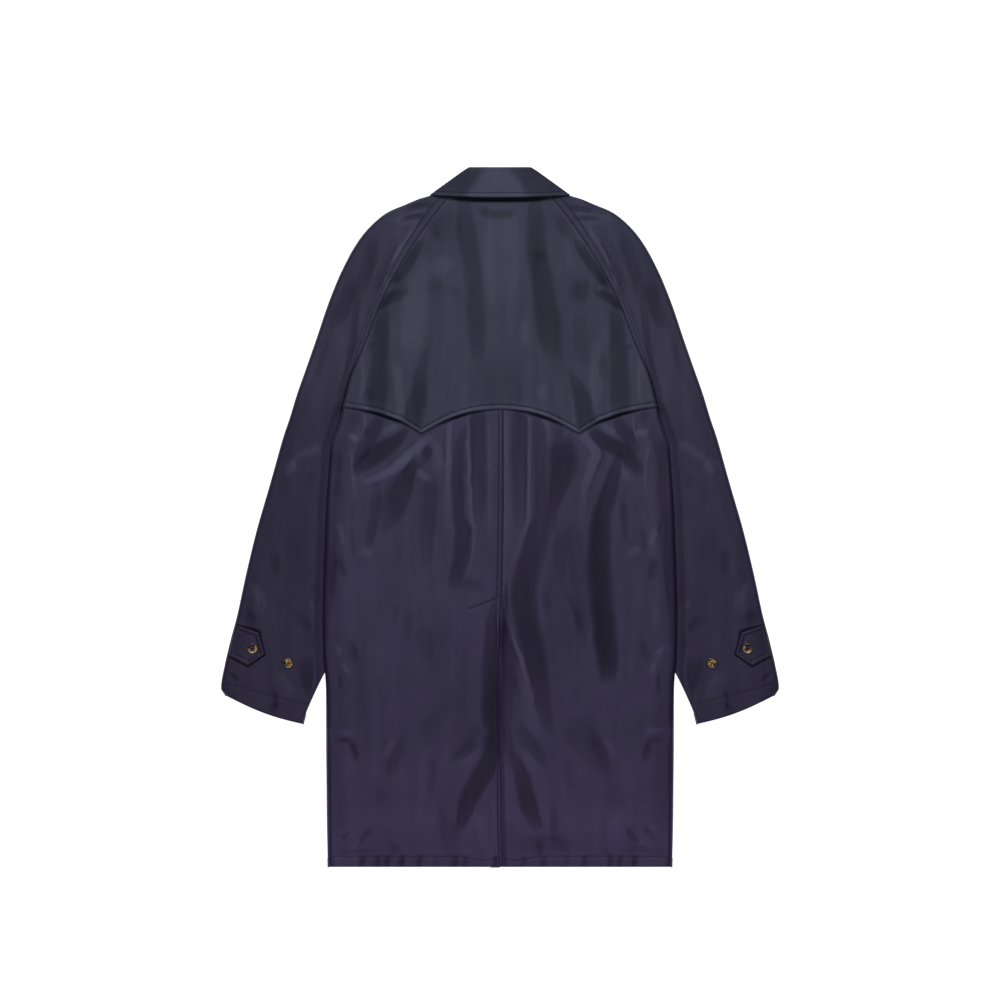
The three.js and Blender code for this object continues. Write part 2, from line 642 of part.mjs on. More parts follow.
// A four-hole coat button with a raised rim, standing on z = 0.
function buttonGeometry() {
  const profile = [
    { radius: 0, z: 0 },
    { radius: 0.72, z: 0 },
    { radius: 0.96, z: 0.3 },
    { radius: 1, z: 0.62 },
    { radius: 0.94, z: 0.92 },
    { radius: 0.84, z: 1 },
    { radius: 0.72, z: 0.93 },
    { radius: 0.6, z: 0.66 },
    { radius: 0, z: 0.6 },
  ].map(({ radius, z }) => new THREE.Vector2(radius * BUTTON_RADIUS, z * BUTTON_HEIGHT));
  const disc = new THREE.LatheGeometry(profile, BUTTON_SIDES);
  disc.rotateX(Math.PI / 2);
  let solid = toSolid(disc);
  for (const [dx, dy] of [[1, 1], [1, -1], [-1, 1], [-1, -1]]) {
    const drill = new THREE.CylinderGeometry(HOLE_RADIUS, HOLE_RADIUS, 3 * BUTTON_HEIGHT, HOLE_SIDES);
    drill.rotateX(Math.PI / 2);
    drill.translate(dx * HOLE_OFFSET, dy * HOLE_OFFSET, BUTTON_HEIGHT / 2);
    solid = solid.subtract(toSolid(drill));
  }
  return toGeometry(solid);
}

// The height at which a button clears the cloth under it.
function seatHeight(x, y, onTab) {
  let highest = 0;
  for (let i = 0; i < BUTTON_SIDES; i++) {
    const angle = (i / BUTTON_SIDES) * 2 * Math.PI;
    const px = x + BUTTON_RADIUS * Math.cos(angle);
    const py = y + BUTTON_RADIUS * Math.sin(angle);
    highest = Math.max(highest, sleeveTop(px, py));
  }
  return highest + (onTab ? TAB_LIFT + WALL : 0) + BUTTON_LIFT;
}

// ---- The coat ---------------------------------------------------------------------------------

const coat = new THREE.Group();
coat.name = "mac_coat";

coat.add(named("back_yoke", yokePiece(), shellCloth));
for (const { side, hand } of [{ side: -1, hand: "left" }, { side: 1, hand: "right" }]) {
  coat.add(named(`back_${hand}`, backPiece(side), shellCloth));
  coat.add(named(`front_${hand}`, frontPiece(side), shellCloth));
  coat.add(named(`sleeve_back_${hand}`, sleeveBack(side), sleeveCloth));
  coat.add(named(`sleeve_front_${hand}`, sleeveFront(side), sleeveCloth));
  coat.add(named(`cuff_tab_${hand}`, cuffTab(side), sleeveCloth));
  for (const { name, x, y, onTab } of BUTTONS) {
    const button = named(`${name}_${hand}`, buttonGeometry(), horn);
    button.position.set(side * x, y, seatHeight(side * x, y, onTab));
    coat.add(button);
  }
}
coat.add(named("collar_leaf", collarLeaf(), collarCloth));
coat.add(named("collar_stand", collarStand(), collarCloth));

export default coat;
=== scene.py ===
"""A raglan mac coat laid flat on its front, its back showing, in dark navy cloth.

Lengths are in millimetres of a coat 1000 mm long and become metres in put(). X runs to the wearer's
right, Y from the hem to the collar, Z up off the floor. Tables hold half widths, used for both sides.
"""
import math

import bpy
import numpy as np
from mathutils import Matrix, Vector
from mathutils.bvhtree import BVHTree


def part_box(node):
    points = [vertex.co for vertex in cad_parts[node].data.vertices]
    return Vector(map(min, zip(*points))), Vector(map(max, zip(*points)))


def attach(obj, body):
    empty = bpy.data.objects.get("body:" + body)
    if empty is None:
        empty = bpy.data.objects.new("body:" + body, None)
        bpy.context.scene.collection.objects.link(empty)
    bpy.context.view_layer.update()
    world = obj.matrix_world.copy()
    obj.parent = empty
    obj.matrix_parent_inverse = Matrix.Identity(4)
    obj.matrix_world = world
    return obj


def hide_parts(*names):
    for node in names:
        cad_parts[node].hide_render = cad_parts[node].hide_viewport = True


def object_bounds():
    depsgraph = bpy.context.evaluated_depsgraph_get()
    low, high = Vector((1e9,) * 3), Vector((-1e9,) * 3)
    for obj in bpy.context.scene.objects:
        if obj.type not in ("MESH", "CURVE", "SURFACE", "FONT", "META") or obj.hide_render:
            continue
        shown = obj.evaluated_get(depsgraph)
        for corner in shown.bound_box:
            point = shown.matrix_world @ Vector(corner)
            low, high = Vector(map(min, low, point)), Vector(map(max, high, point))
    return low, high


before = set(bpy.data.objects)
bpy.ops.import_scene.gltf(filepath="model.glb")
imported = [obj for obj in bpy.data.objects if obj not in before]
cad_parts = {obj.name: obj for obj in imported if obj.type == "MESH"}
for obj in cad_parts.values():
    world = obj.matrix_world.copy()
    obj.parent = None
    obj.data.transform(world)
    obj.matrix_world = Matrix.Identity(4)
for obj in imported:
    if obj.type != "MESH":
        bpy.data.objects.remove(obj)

cad_low, cad_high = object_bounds()
MM = (cad_high.y - cad_low.y) / 1000
MIDDLE = Vector(((cad_low.x + cad_high.x) / 2, (cad_low.y + cad_high.y) / 2, cad_low.z))

# ---- Sizes ----

HANDS = {-1: "left", 1: "right"}  # the wearer's, by the sign of X
HEM_Y = -500
COLLAR_Y = 500
WALL = 1.0  # thickness of the cloth
UNDERARM_Y = 129
TUCK_Y = 105  # from here down to EMERGE_Y the body's side lies on the sleeve
EMERGE_Y = -240
FLAT_Y = -300  # and from here down it lies flat
TUCK_WIDTH = 55  # how far in from its side the body lies on the sleeve
SLEEVE_STACK = 3.1  # how much the sleeve lifts it there
YOKE_SIDE_Y = 157  # the yoke's free edge at the raglan seams
NECK_Y = 466
NECK_SIDE_X = 88
VENT_TOP_Y = -114
VENT_SLANT_Y = -131  # the lower end of the slanted stitches over the vent
UNDERLAP_X = -42  # how far the right back reaches under the left one in the vent
FRONT_OVERLAP = 35  # how far each front passes the middle
NECK_LIFT = 1.8  # how much the collar's points, which lie beneath, lift the fronts
COLLAR_MID = 4.8  # mid-height of the collar

# Heights of the outer faces over the floor.
BACK_TOP = 9.6
BACK_UNDER_YOKE = 6.4
YOKE_TOP = 10.6
SLEEVE_TOP = 6.6
SLEEVE_TUCKED = 1.8  # under the body's side
HEM_TOP = 5.6
NECK_TOP = 4.9  # the yoke under the collar, just over the stand


def table(names, *rows):
    """A table with named columns, as a dict of arrays."""
    return dict(zip(names.split(), np.array(rows, float).T))


BODY = table(
    "y half",
    (-500, 246), (-470, 246.8), (-430, 247.6), (-380, 248), (-340, 248.4), (-300, 248.6),
    (-270, 248.6), (-240, 249), (-205, 251.6), (-170, 252.8), (-131, 253), (-114, 252.6),
    (-85, 252), (-50, 250.4), (-15, 249.2), (20, 247.6), (55, 245), (82, 243), (105, 240.6),
    (129, 233), (157, 224), (199, 213), (240, 197), (269, 185), (298, 174), (332, 158),
    (359, 143), (386, 127), (416, 106), (440, 88), (456, 75), (466, 67),
)

HEM_PUCKERS = table(
    "x size",
    (-197.5, 1), (-175.7, 0.9), (-161.9, 1), (-141, 1.1), (-115.7, 1), (-92, 0.5), (-64, 0.9), (-50, 0.8),
    (-7, 0.8), (34, 0.6), (62, 0.8), (96, 0.5), (121, 0.9), (158, 1), (172, 0.9), (192.9, 1), (240, 0.7),
)

# Sleeve sections from the cuff to the neck: inner edge, then the outer edge at the overarm.
SLEEVE = table(
    "inner_x inner_y outer_x outer_y",
    (281, -296, 392, -255), (276, -278, 398.6, -243), (259, -240, 393.5, -212),
    (240, -202, 385, -176), (220, -155, 375, -138), (208, -98, 363, -82),
    (206, -40, 347.5, -18), (216, 18, 329, 46), (232, 70, 311, 110),
    (240.6, 105, 301, 140), (233, 129, 290, 176), (224, 157, 278, 210), (213, 199, 262, 256),
    (197, 240, 249, 295), (185, 269, 238.5, 323), (174, 298, 226.5, 351), (158, 332, 208, 386),
    (143, 359, 188, 412.5), (127, 386, 163, 434), (106, 416, 134, 447), (88, 440, 116, 454.5),
    (75, 456, 101.5, 458.9), (67, 466, 86, 465.5),
)
UNDERARM_ROW = 10

YOKE_EDGE = table(
    "x y",
    (0, 154), (19, 153), (38, 150.6), (54, 147), (69, 142), (82, 136), (93, 130), (104, 123.6),
    (113, 119), (121, 124), (130, 130), (141, 137), (154, 142), (171, 148), (189, 152),
    (207, 155), (224, 157),
)

CENTRE_SEAM = table(
    "y x", (-500, -0.7), (-430, -2.6), (-304, -3.4), (-240, -3), (-160, -0.4), (-114, 1), (466, 1),
)

# The collar leaf round the neck: its roll and its free edge in plan, the outer face's distance
# from mid-height, the way that face looks, the depth of the roll and the bow of the leaf.
LEAF = table(
    "roll_x roll_y edge_x edge_y height turn depth crown",
    (0, 500, 0, 456.4, 9.6, 0, 6.8, 1.2), (13, 500, 27, 456.6, 9.6, 0, 6.8, 1.2),
    (24, 500, 46, 457.2, 9.2, 0, 6.6, 1.1), (36.5, 500, 66, 458, 7.6, 0, 5.6, 0.8),
    (44, 499.8, 84, 459, 5.9, 0, 4.5, 0.5), (47.2, 497.3, 98.3, 459.3, 4.9, 12, 3.7, 0.2),
    (46.1, 494.2, 97.2, 457.2, 4.8, 60, 3.4, 0), (45.8, 493, 97, 456, 4.8, 120, 3.4, 0),
    (46, 491, 97.5, 454, 4.8, 168, 3.4, 0), (43.5, 483, 98, 446, 4.8, 180, 3.6, 0),
    (37, 468, 96, 426, 4.8, 180, 3.6, 0), (32, 452, 90, 408, 4.8, 180, 3.6, 0),
    (25, 436, 82, 388, 4.8, 180, 3.6, 0), (17, 420, 72, 368, 4.8, 180, 3.6, 0),
    (7, 403, 62, 350, 4.8, 180, 3.6, 0),
)
STAND_SEAM = table(
    "x y height",
    (0, 467.2, -0.7), (22, 467.2, -0.7), (38, 467.2, -0.6), (55, 467.2, -0.3), (70, 467.2, 0.6),
    (83.2, 467, 1.6), (83.2, 467, 2.1), (83.2, 467, 2.1), (83.2, 467, 2.1), (82.6, 457, 2.2),
    (81.6, 447.5, 2.2), (74, 428, 2.2), (60, 407.6, 2.2), (40, 394.4, 2.2), (15, 392.6, 2.2),
)

# Distances of the topstitching from its edge or seam.
YOKE_STITCH = 7.0
CENTRE_STITCH = 5.7
COLLAR_STITCH = 6.4
HEM_STITCH = 14.5
CUFF_STITCH = 22
TAB_STITCH = 6.5
VENT_STITCH = table("x y", (-44.5, VENT_SLANT_Y), (-4.5, -115.6))  # where the slanted row runs

TAB = table("x y", (379, -153.4), (345, -165.4), (336, -196.3), (360, -213), (387.4, -198.4))
TAB_SEAM_ACROSS = (0.983, 0.183)  # square to the side at which the overarm seam holds the tab

# How much painted shade lies on the roll at the body's side along its length, and how far in that
# reaches.
SIDE_SHADE = table(
    "y depth reach",
    (-480, 0, 9), (-446, 0, 9), (-430, 0.2, 9), (-403, 0.3, 9), (-394, 0.6, 10), (-328, 0.8, 10),
    (-316, 0.1, 10), (-302, 0.1, 10), (-292, 1, 9), (-220, 1, 9), (-150, 1, 11), (-110, 1.2, 17),
    (-60, 1.1, 20), (-20, 0.9, 16), (50, 0.45, 16), (100, 0.5, 24), (130, 0, 24),
)
LEFT_SHADE = 0.55  # the share of it on the left

# ---- Folds ----
# A short fold runs from one point to another: x0, y0, x1, y1, its half width at either end and its
# rise, below zero for a trough; the rise also paints shade on a trough and a highlight on a ridge. A last
# number, where there is one, is how far it bows sideways.
#
# A long fold is a row of places from its top down: x, y, how far it reaches to the left and the
# right of someone walking along it, and its painted shade, below zero, or painted highlight there.

YOKE_LONG = [
    # the middle, from the collar down
    [(0, 446, 18, 18, 0.2), (1, 410, 27, 27, 0.5), (2, 360, 31, 31, 0.5), (3, 315, 27, 27, 0.25),
     (3, 280, 22, 22, 0)],
    [(-53, 454, 10, 9, -0.4), (-50, 425, 13, 14, -0.68), (-46, 395, 14, 15, -0.75),
     (-41, 365, 14, 15, -0.72), (-37, 330, 13, 14, -0.66), (-35, 290, 14, 14, -0.66),
     (-33, 250, 13, 14, -0.6), (-31, 225, 10, 10, -0.3), (-30, 203, 7, 7, 0)],
    [(51, 454, 12, 9, -0.45), (51, 430, 15, 13, -0.8), (52, 400, 15, 15, -0.85), (54, 372, 15, 17, -1.05),
     (59, 340, 18, 17, -1.05), (66, 300, 20, 19, -1.05), (71, 265, 20, 19, -0.95),
     (75, 238, 17, 17, -0.65), (79, 212, 12, 12, 0)],
    [(-144, 354, 8, 10, 0), (-153, 332, 14, 12, -0.6), (-164, 312, 10, 10, -0.4), (-172, 290, 8, 8, 0)],
    [(144, 354, 10, 8, 0), (153, 332, 12, 14, -0.6), (164, 312, 10, 10, -0.4), (172, 290, 8, 8, 0)],
    [(-186, 300, 7, 7, 0), (-189, 276, 8, 8, -0.6), (-192, 250, 6, 6, 0)],
    [(120, 350, 12, 12, 0), (113, 320, 16, 16, -0.5), (110, 292, 12, 12, 0)],
    [(0, 240, 18, 18, 0), (0, 215, 32, 32, -0.35), (0, 185, 36, 36, -0.5), (0, 166, 34, 34, -0.45)],
    # along the raglan seams
    [(-116, 391, 5, 6, -0.8), (-128, 372, 8, 8, -1.3), (-140, 353, 9, 8, -1.3), (-151, 337, 7, 7, -1.2),
     (-158, 329, 4, 4, -0.3)],
    [(-136, 323, 5, 5, -0.5), (-152, 315, 8, 8, -1.25), (-166, 307, 8, 8, -1.3), (-180, 298, 7, 7, -1.1)],
    [(110, 391, 6, 5, -0.7), (124, 372, 8, 8, -1.2), (138, 352, 9, 8, -1.2), (150, 336, 7, 7, -1.15),
     (157, 328, 4, 4, -0.3)],
    [(136, 323, 5, 5, -0.4), (152, 315, 8, 8, -1.2), (166, 307, 8, 8, -1.2), (180, 298, 7, 7, -1.1)],
    # down to the free edge, left and right
    [(-167, 302, 8, 8, -0.4), (-170, 282, 11, 12, -1.0), (-172, 250, 14, 14, -0.95),
     (-174, 215, 16, 14, -0.9), (-176, 182, 17, 16, -1.05), (-177, 150, 16, 15, -0.95)],
    [(-98, 256, 3, 3, 0), (-106, 233, 7, 5, -0.3), (-114, 205, 9, 8, -0.65), (-117, 180, 14, 11, -1.15),
     (-122, 155, 15, 13, -1.1), (-125, 128, 14, 13, -1.0)],
    [(167, 302, 8, 8, -0.4), (169, 275, 13, 12, -0.95), (170, 240, 15, 14, -1.05),
     (171, 205, 17, 16, -1.05), (172, 178, 17, 16, -1.0), (172, 148, 16, 15, -0.95)],
    [(103, 208, 4, 4, -0.3), (109, 190, 9, 8, -0.8), (116, 168, 13, 11, -1.0), (121, 148, 14, 13, -1.05),
     (123, 124, 13, 13, -1.0)],
    # the painted highlights between them
    [(-120, 372, 12, 12, 0.05), (-124, 345, 20, 20, 0.3), (-125, 300, 26, 24, 0.55),
     (-126, 260, 25, 24, 0.6), (-131, 226, 16, 16, 0.2), (-133, 205, 10, 10, 0)],
    [(-150, 232, 6, 6, 0), (-148, 205, 9, 9, 0.55), (-144, 176, 10, 10, 0.6), (-141, 150, 9, 9, 0.4)],
    [(138, 256, 8, 8, 0), (138, 225, 12, 12, 0.5), (138, 190, 13, 13, 0.55), (139, 156, 10, 10, 0.3)],
]

SLEEVE_LONG = [
    [(279, -200, 12, 14, 0), (279, -214, 14, 15, -0.6), (278, -230, 10, 11, -0.75),
     (277, -244, 6, 6, -0.7), (276, -258, 3, 3, 0)],
    [(206, 312, 5, 6, -0.3), (210, 268, 5, 6, -0.5), (216, 222, 5, 5, -0.55), (226, 178, 5, 5, -0.5),
     (232, 150, 4, 4, 0)],
    [(148, 404, 6, 6, 0), (157, 380, 9, 7, -0.6), (171, 345, 8, 7, -0.5), (183, 310, 6, 6, 0)],
]

YOKE_FOLDS = [
    # the middle and the left side
    (38, 285, 36, 240, 8, 8, 1.0), (-36, 443, 26, 442, 7, 7, -2.4, -14),
    (-80, 442, -78, 385, 24, 24, -1.3), (53, 382, 57, 362, 9, 9, -1.0), (58, 190, 62, 166, 10, 10, 0.9),
    (-104, 424, -88, 392, 9, 9, -1.7), (-106, 392, -100, 356, 10, 9, -0.8),
    (-98, 345, -74, 372, 14, 14, 0.9), (-162, 328, -142, 332, 4, 4, 1.2),
    (-190, 246, -181, 240, 6, 6, -2.0), (-195, 237, -201, 162, 5, 5, 1.3),
    (-110, 330, -50, 316, 12, 12, -0.9), (-188, 186, -190, 160, 8, 8, -1.6),
    # the right side
    (86, 432, 100, 400, 8, 8, -1.6), (98, 402, 102, 348, 9, 10, 0.6), (152, 329, 139, 326, 4, 4, 1.2),
    (190, 246, 181, 241, 5, 5, -2.0), (120, 342, 110, 304, 13, 12, -1.5),
    (112, 302, 118, 213, 12, 12, -1.5), (149, 236, 147, 194, 10, 10, -1.4),
    (200, 237, 203, 162, 6, 6, 1.2), (84, 205, 88, 150, 9, 9, 0.7),
    # short folds above the free edge
    (-62, 198, -64, 156, 5, 5, -0.6), (-36, 192, -38, 160, 5, 5, -0.5), (26, 196, 28, 162, 5, 5, -0.6),
    (-120.5, 168, -118, 126, 1.8, 1.8, -0.6), (-112, 168, -113, 126, 1.8, 1.8, 0.5),
    (114.5, 168, 114, 126, 1.8, 1.8, -0.5), (107, 168, 108, 126, 1.8, 1.8, 0.5),
]

BACK_LONG = [
    # under the yoke, left: painted shade along the folds and a painted highlight between them
    [(-133, 125, 4, 4, -0.5), (-146, 111, 8, 8, -1.1), (-162, 99, 13, 14, -1.3),
     (-178, 87, 14, 16, -1.35), (-192, 76, 12, 16, -1.25), (-203, 66, 7, 10, -0.9), (-210, 58, 4, 5, 0)],
    [(-168, 150, 7, 7, -0.4), (-176, 130, 9, 9, -0.75), (-187, 112, 12, 12, -1.0),
     (-196, 94, 11, 11, -0.9), (-203, 76, 8, 8, -0.3)],
    [(-102, 110, 8, 8, 0.5), (-120, 97, 13, 12, 1.25), (-138, 81, 13, 12, 1.5), (-158, 66, 11, 10, 1.5),
     (-176, 56, 8, 8, 1.3), (-192, 50, 6, 6, 0.9), (-203, 46, 4, 4, 0)],
    [(-121, 86, 4, 4, -0.6), (-127, 69, 8, 8, -1.2), (-134, 51, 12, 16, -1.25), (-140, 33, 14, 30, -1.05),
     (-146, 16, 14, 34, -0.95), (-154, 0, 12, 26, -0.75), (-164, -15, 9, 13, -0.5), (-171, -30, 6, 6, 0)],
    [(-176, 44, 6, 6, -0.2), (-178, 22, 9, 9, -0.6), (-180, 0, 8, 8, -0.75), (-184, -20, 7, 7, -0.8),
     (-188, -38, 5, 5, -0.5), (-190, -50, 4, 4, 0)],
    [(-97, 56, 6, 6, -0.2), (-99, 40, 11, 14, -0.65), (-101, 8, 11, 16, -0.65),
     (-103, -30, 10, 14, -0.55), (-105, -62, 9, 10, -0.35), (-106, -84, 6, 6, 0)],
    [(-73, 146, 7, 7, 0.4), (-73, 100, 7, 7, 0.8), (-74, 58, 7, 7, 0.6), (-76, 15, 8, 8, 0.35),
     (-77, -50, 8, 8, 0)],
    [(-54, 124, 4, 5, -0.3), (-57, 90, 5, 8, -0.75), (-58, 40, 6, 10, -0.9), (-57, 0, 7, 10, -1.0),
     (-52, -25, 12, 13, -1.1), (-54, -50, 13, 14, -1.15), (-58, -72, 12, 13, -1.05),
     (-64, -92, 10, 11, -0.7), (-69, -108, 7, 7, 0)],
    [(-46, 146, 5, 4, 0.4), (-45, 90, 6, 5, 0.65), (-44, 40, 6, 5, 0.6), (-42, 0, 6, 5, 0.5),
     (-39, -25, 7, 6, 0.35), (-44, -56, 9, 8, 0.5), (-50, -80, 8, 7, 0.4), (-54, -94, 5, 5, 0)],
    [(-33, 156, 13, 13, -0.8), (-31, 100, 11, 12, -0.8), (-30, 50, 11, 11, -0.7), (-30, 14, 9, 9, -0.5),
     (-30, -18, 7, 7, 0)],
    # under the yoke, right
    [(27, 156, 12, 12, -0.75), (27, 100, 12, 12, -0.7), (28, 50, 12, 11, -0.65), (28, 10, 9, 8, -0.45),
     (29, -28, 6, 6, 0)],
    [(42, 140, 5, 5, 0.4), (42, 90, 5, 5, 0.7), (41, 40, 5, 5, 0.65), (41, 0, 5, 6, 0.5),
     (34, -30, 6, 7, 0.4), (26, -56, 7, 8, 0.35), (17, -84, 6, 7, 0)],
    [(55, 142, 7, 7, -0.4), (57, 80, 12, 8, -0.75), (58, 2, 13, 10, -0.85), (52, -30, 18, 16, -0.95),
     (44, -60, 21, 19, -1.1), (36, -90, 20, 18, -1.3), (32, -120, 21, 18, -1.5), (36, -150, 22, 17, -1.5),
     (43, -180, 22, 15, -1.5), (49, -207, 20, 12, -1.45), (54, -226, 16, 11, -1.3),
     (59, -250, 14, 11, -0.9), (63, -280, 12, 11, -0.6), (74, -316, 8, 8, 0)],
    [(91, 112, 16, 16, -0.4), (90, 92, 22, 22, -1.15), (88, 66, 22, 20, -1.2), (83, 40, 14, 15, -1.1),
     (77, 14, 8, 10, -0.9), (73, -12, 6, 7, -0.5), (70, -36, 4, 4, 0)],
    [(107, 126, 7, 7, 0.3), (125, 109, 10, 10, 0.7), (139, 92, 9, 13, 0.9), (135, 74, 8, 14, 0.9),
     (128, 54, 6, 13, 0.75), (122, 34, 5, 11, 0.5), (119, 8, 5, 9, 0.35), (117, -24, 5, 6, 0.1),
     (117, -50, 4, 4, 0)],
    [(104, -6, 10, 10, 0), (106, -30, 15, 13, -0.4), (110, -70, 16, 14, -0.4), (116, -120, 14, 14, -0.5),
     (119, -160, 12, 14, -0.55), (118, -200, 9, 10, 0)],
    [(127, 127, 6, 6, -0.2), (140, 114, 10, 9, -1.0), (158, 101, 13, 11, -1.2), (175, 91, 15, 12, -1.2),
     (188, 78, 13, 10, -1.1), (198, 66, 8, 7, -0.8), (205, 57, 4, 4, 0)],
    [(165, 150, 7, 7, -0.4), (172, 130, 9, 9, -0.75), (184, 112, 11, 11, -0.9), (192, 96, 10, 9, -0.5)],
    [(171, 88, 4, 4, -0.3), (164, 63, 9, 9, -1.05), (157, 36, 12, 12, -1.25), (147, 4, 14, 14, -1.4),
     (142, -36, 18, 17, -1.5), (141, -72, 20, 19, -1.55), (143, -110, 20, 18, -1.6),
     (148, -150, 19, 18, -1.65), (153, -190, 17, 17, -1.6), (155, -220, 14, 14, -1.25),
     (157, -244, 10, 10, 0)],
    [(80, -60, 14, 14, 0), (80, -100, 18, 18, -0.25), (84, -150, 20, 20, -0.35), (86, -200, 20, 20, -0.2),
     (88, -240, 14, 14, 0)],
    [(-80, -110, 14, 14, 0), (-84, -160, 16, 16, -0.35), (-86, -210, 18, 18, -0.3),
     (-88, -260, 14, 14, 0)],
    [(104, -280, 24, 24, 0), (112, -305, 30, 26, -0.35), (130, -335, 26, 22, -0.35),
     (158, -370, 22, 18, -0.3), (170, -400, 10, 10, 0)],
    [(14, -474, 8, 10, -0.1), (45, -466, 12, 15, -0.45), (85, -468, 12, 14, -0.4), (130, -476, 8, 8, 0)],
    # beside the vent
    [(1, -138, 2, 2, 0), (2, -158, 3, 3, -1.1), (2, -186, 3, 3, -1.1), (0, -216, 2, 2, 0)],
    [(-7, -112, 3, 4, -0.2), (-10, -140, 5, 8, -0.7), (-10, -180, 8, 14, -1.1),
     (-10, -220, 11, 18, -1.25), (-10, -262, 12, 18, -1.35), (-10, -300, 11, 15, -1.3),
     (-12, -334, 11, 13, -1.3), (-18, -358, 12, 14, -1.35), (-29, -380, 13, 19, -1.4),
     (-41, -402, 12, 17, -1.4), (-49, -422, 9, 14, -1.35), (-56, -440, 6, 8, -1.0), (-62, -455, 4, 5, 0)],
    [(5, -116, 4, 4, -0.5), (8, -150, 9, 8, -1.0), (10, -190, 13, 11, -1.0), (10, -230, 14, 12, -0.95),
     (9, -262, 13, 10, -0.6), (8, -300, 9, 8, -0.45), (11, -340, 10, 9, -0.5), (13, -384, 8, 8, 0)],
    [(3, -104, 3, 3, 0.5), (8, -140, 4, 4, 0.9), (18, -176, 5, 5, 0.9), (30, -204, 6, 6, 0.75),
     (39, -232, 7, 8, 0.55), (42, -262, 10, 16, 0.4), (46, -288, 16, 18, 0.4), (60, -314, 14, 12, 0.3),
     (76, -336, 9, 9, 0)],
    [(16, -332, 8, 7, -0.1), (27, -358, 9, 9, -1.0), (33, -380, 12, 12, -1.2), (39, -402, 12, 14, -1.35),
     (45, -420, 11, 14, -1.35), (52, -438, 7, 9, -1.0), (57, -454, 5, 6, 0)],
]

